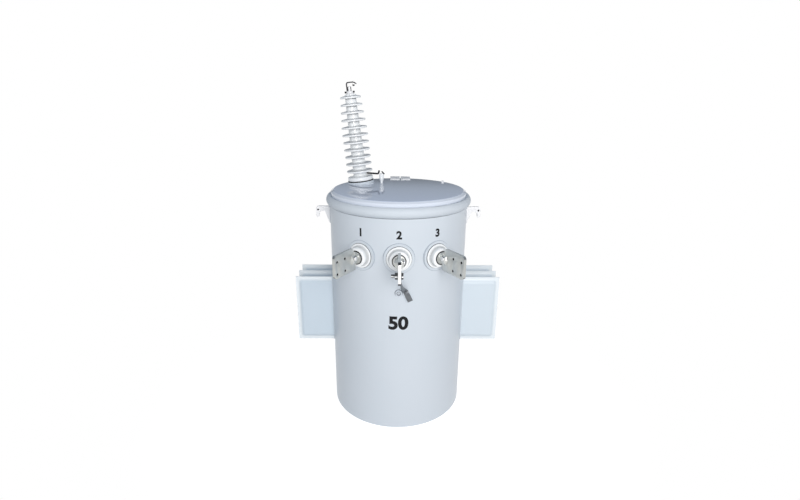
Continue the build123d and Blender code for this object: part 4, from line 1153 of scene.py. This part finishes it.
FOOT_SLANT, FOOT_X, FOOT_DROP = radians(24.6), 0.035, 0.145
down = Vector((sin(FOOT_SLANT), 0, -cos(FOOT_SLANT)))
across = Vector((-cos(FOOT_SLANT), 0, -sin(FOOT_SLANT)))
foot_mid = Vector((FOOT_X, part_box("ground_strap")[1][1] - 1.6 * mm, lv_level - FOOT_DROP))
FROM_BOLT = [(6.3, 0, 14), (6.3, 0, 2), (6.3, 0, -12), (6.9, 1, -24), (9.5, 10, -37), (13, 26, -52),
             (16.8, 45, -66), (21, 66, -81)]
middles = [Vector((x * mm, strap_bolt.y + y * mm, strap_bolt.z + z * mm)) for x, y, z in FROM_BOLT]
middles += [foot_mid + down * z * mm for z in (-24, -14, 0, 20)]
TWIST = [(0, 1, 0)] * 4 + [(-0.35, 0.9, 0.15), (-0.75, 0.6, 0.1), (-0.9, 0.35, -0.1), (-0.93, 0.2, -0.25)]
ways = [Vector(way).normalized() for way in TWIST] + [across] * 4
STEPS = 96
half_width, half_sheet = 10 * mm, 0.9 * mm
section = [(-1, -1), (-0.96, -1.15), (0, -1.2), (0.96, -1.15), (1, -1), (1, 1), (0.96, 1.15), (0, 1.2),
           (-0.96, 1.15), (-1, 1)]
points = []
for k in range(STEPS + 1):
    t = k / STEPS
    middle = smooth_between(middles, t)
    way = smooth_between(ways, t).normalized()
    run = smooth_between(middles, min(t + 0.004, 1)) - smooth_between(middles, max(t - 0.004, 0))
    thick = way.cross(run).normalized()
    points += [middle + way * (u * half_width) + thick * (v * half_sheet) for u, v in section]
ribbon = new_mesh("ground_strap_ribbon", points, capped_faces(STEPS + 1, len(section)))
new_piece("ground_strap_ribbon", outward(ribbon), "strap_metal", "ground_strap", 50)
print("strap runs from", [round(v, 3) for v in middles[0]], "to", [round(v, 3) for v in middles[-1]])

# %% [markdown]
# ## Painted numbers
# The bushings are numbered and the tank carries a plain figure, not a rating, in black stencil
# paint. Paint has almost no height, so each figure is a text curve made into a mesh, cut fine
# enough to bend, and wrapped onto the wall as a film that ends a quarter of a millimetre outside
# it. Blender's own font is plain enough.

# %% Numbers
FILM_FOOT, FILM_TOP, LONGEST_EDGE = 0.02 * mm, 0.25 * mm, 3 * mm


def stencil(name, words, azimuth, level, height, width=1.0):
    """Wrap painted figures round the tank at an angle and a height."""
    text = bpy.data.curves.new(name, "FONT")
    text.body = words
    text.align_x = "CENTER"
    text.align_y = "CENTER"
    text.size = 1.0
    text.offset = 0.04
    carrier = show(name + "_text", text)
    flat = baked(carrier)
    bpy.data.objects.remove(carrier)
    xs = [v.co.x for v in flat.vertices]
    ys = [v.co.y for v in flat.vertices]
    scale = height / (max(ys) - min(ys))
    bm = bmesh.new()
    bm.from_mesh(flat)
    bmesh.ops.remove_doubles(bm, verts=bm.verts, dist=0.0001)
    bmesh.ops.triangulate(bm, faces=bm.faces)
    for _ in range(3):
        long_edges = [e for e in bm.edges if e.calc_length() * scale > LONGEST_EDGE]
        if long_edges:
            bmesh.ops.subdivide_edges(bm, edges=long_edges, cuts=1)
            bmesh.ops.triangulate(bm, faces=bm.faces)
    made = bmesh.ops.extrude_face_region(bm, geom=bm.faces[:])
    lifted = {g for g in made["geom"] if isinstance(g, bmesh.types.BMVert)}
    middle_x, middle_y = (max(xs) + min(xs)) / 2, (max(ys) + min(ys)) / 2
    for vert in bm.verts:
        along = (vert.co.x - middle_x) * scale * width
        rise = (vert.co.y - middle_y) * scale
        turn = radians(azimuth) + along / wall_radius
        reach = wall_radius + (FILM_TOP if vert in lifted else FILM_FOOT)
        vert.co = (reach * sin(turn), -reach * cos(turn), level + rise)
    bmesh.ops.recalc_face_normals(bm, faces=bm.faces)
    bm.to_mesh(flat)
    bm.free()
    new_piece(name, flat, "black_paint", "black_paint", 30, stands=False)


NUMBER_LEVEL, FIGURE_LEVEL = 0.810, 0.467
for words, azimuth in (("1", -30.3), ("2", 0.0), ("3", 30.3)):
    stencil("number_" + words, words, azimuth, NUMBER_LEVEL, 31 * mm)
stencil("rating_50", "50", 0.0, FIGURE_LEVEL, 56 * mm, 1.05)
print("numbers painted")
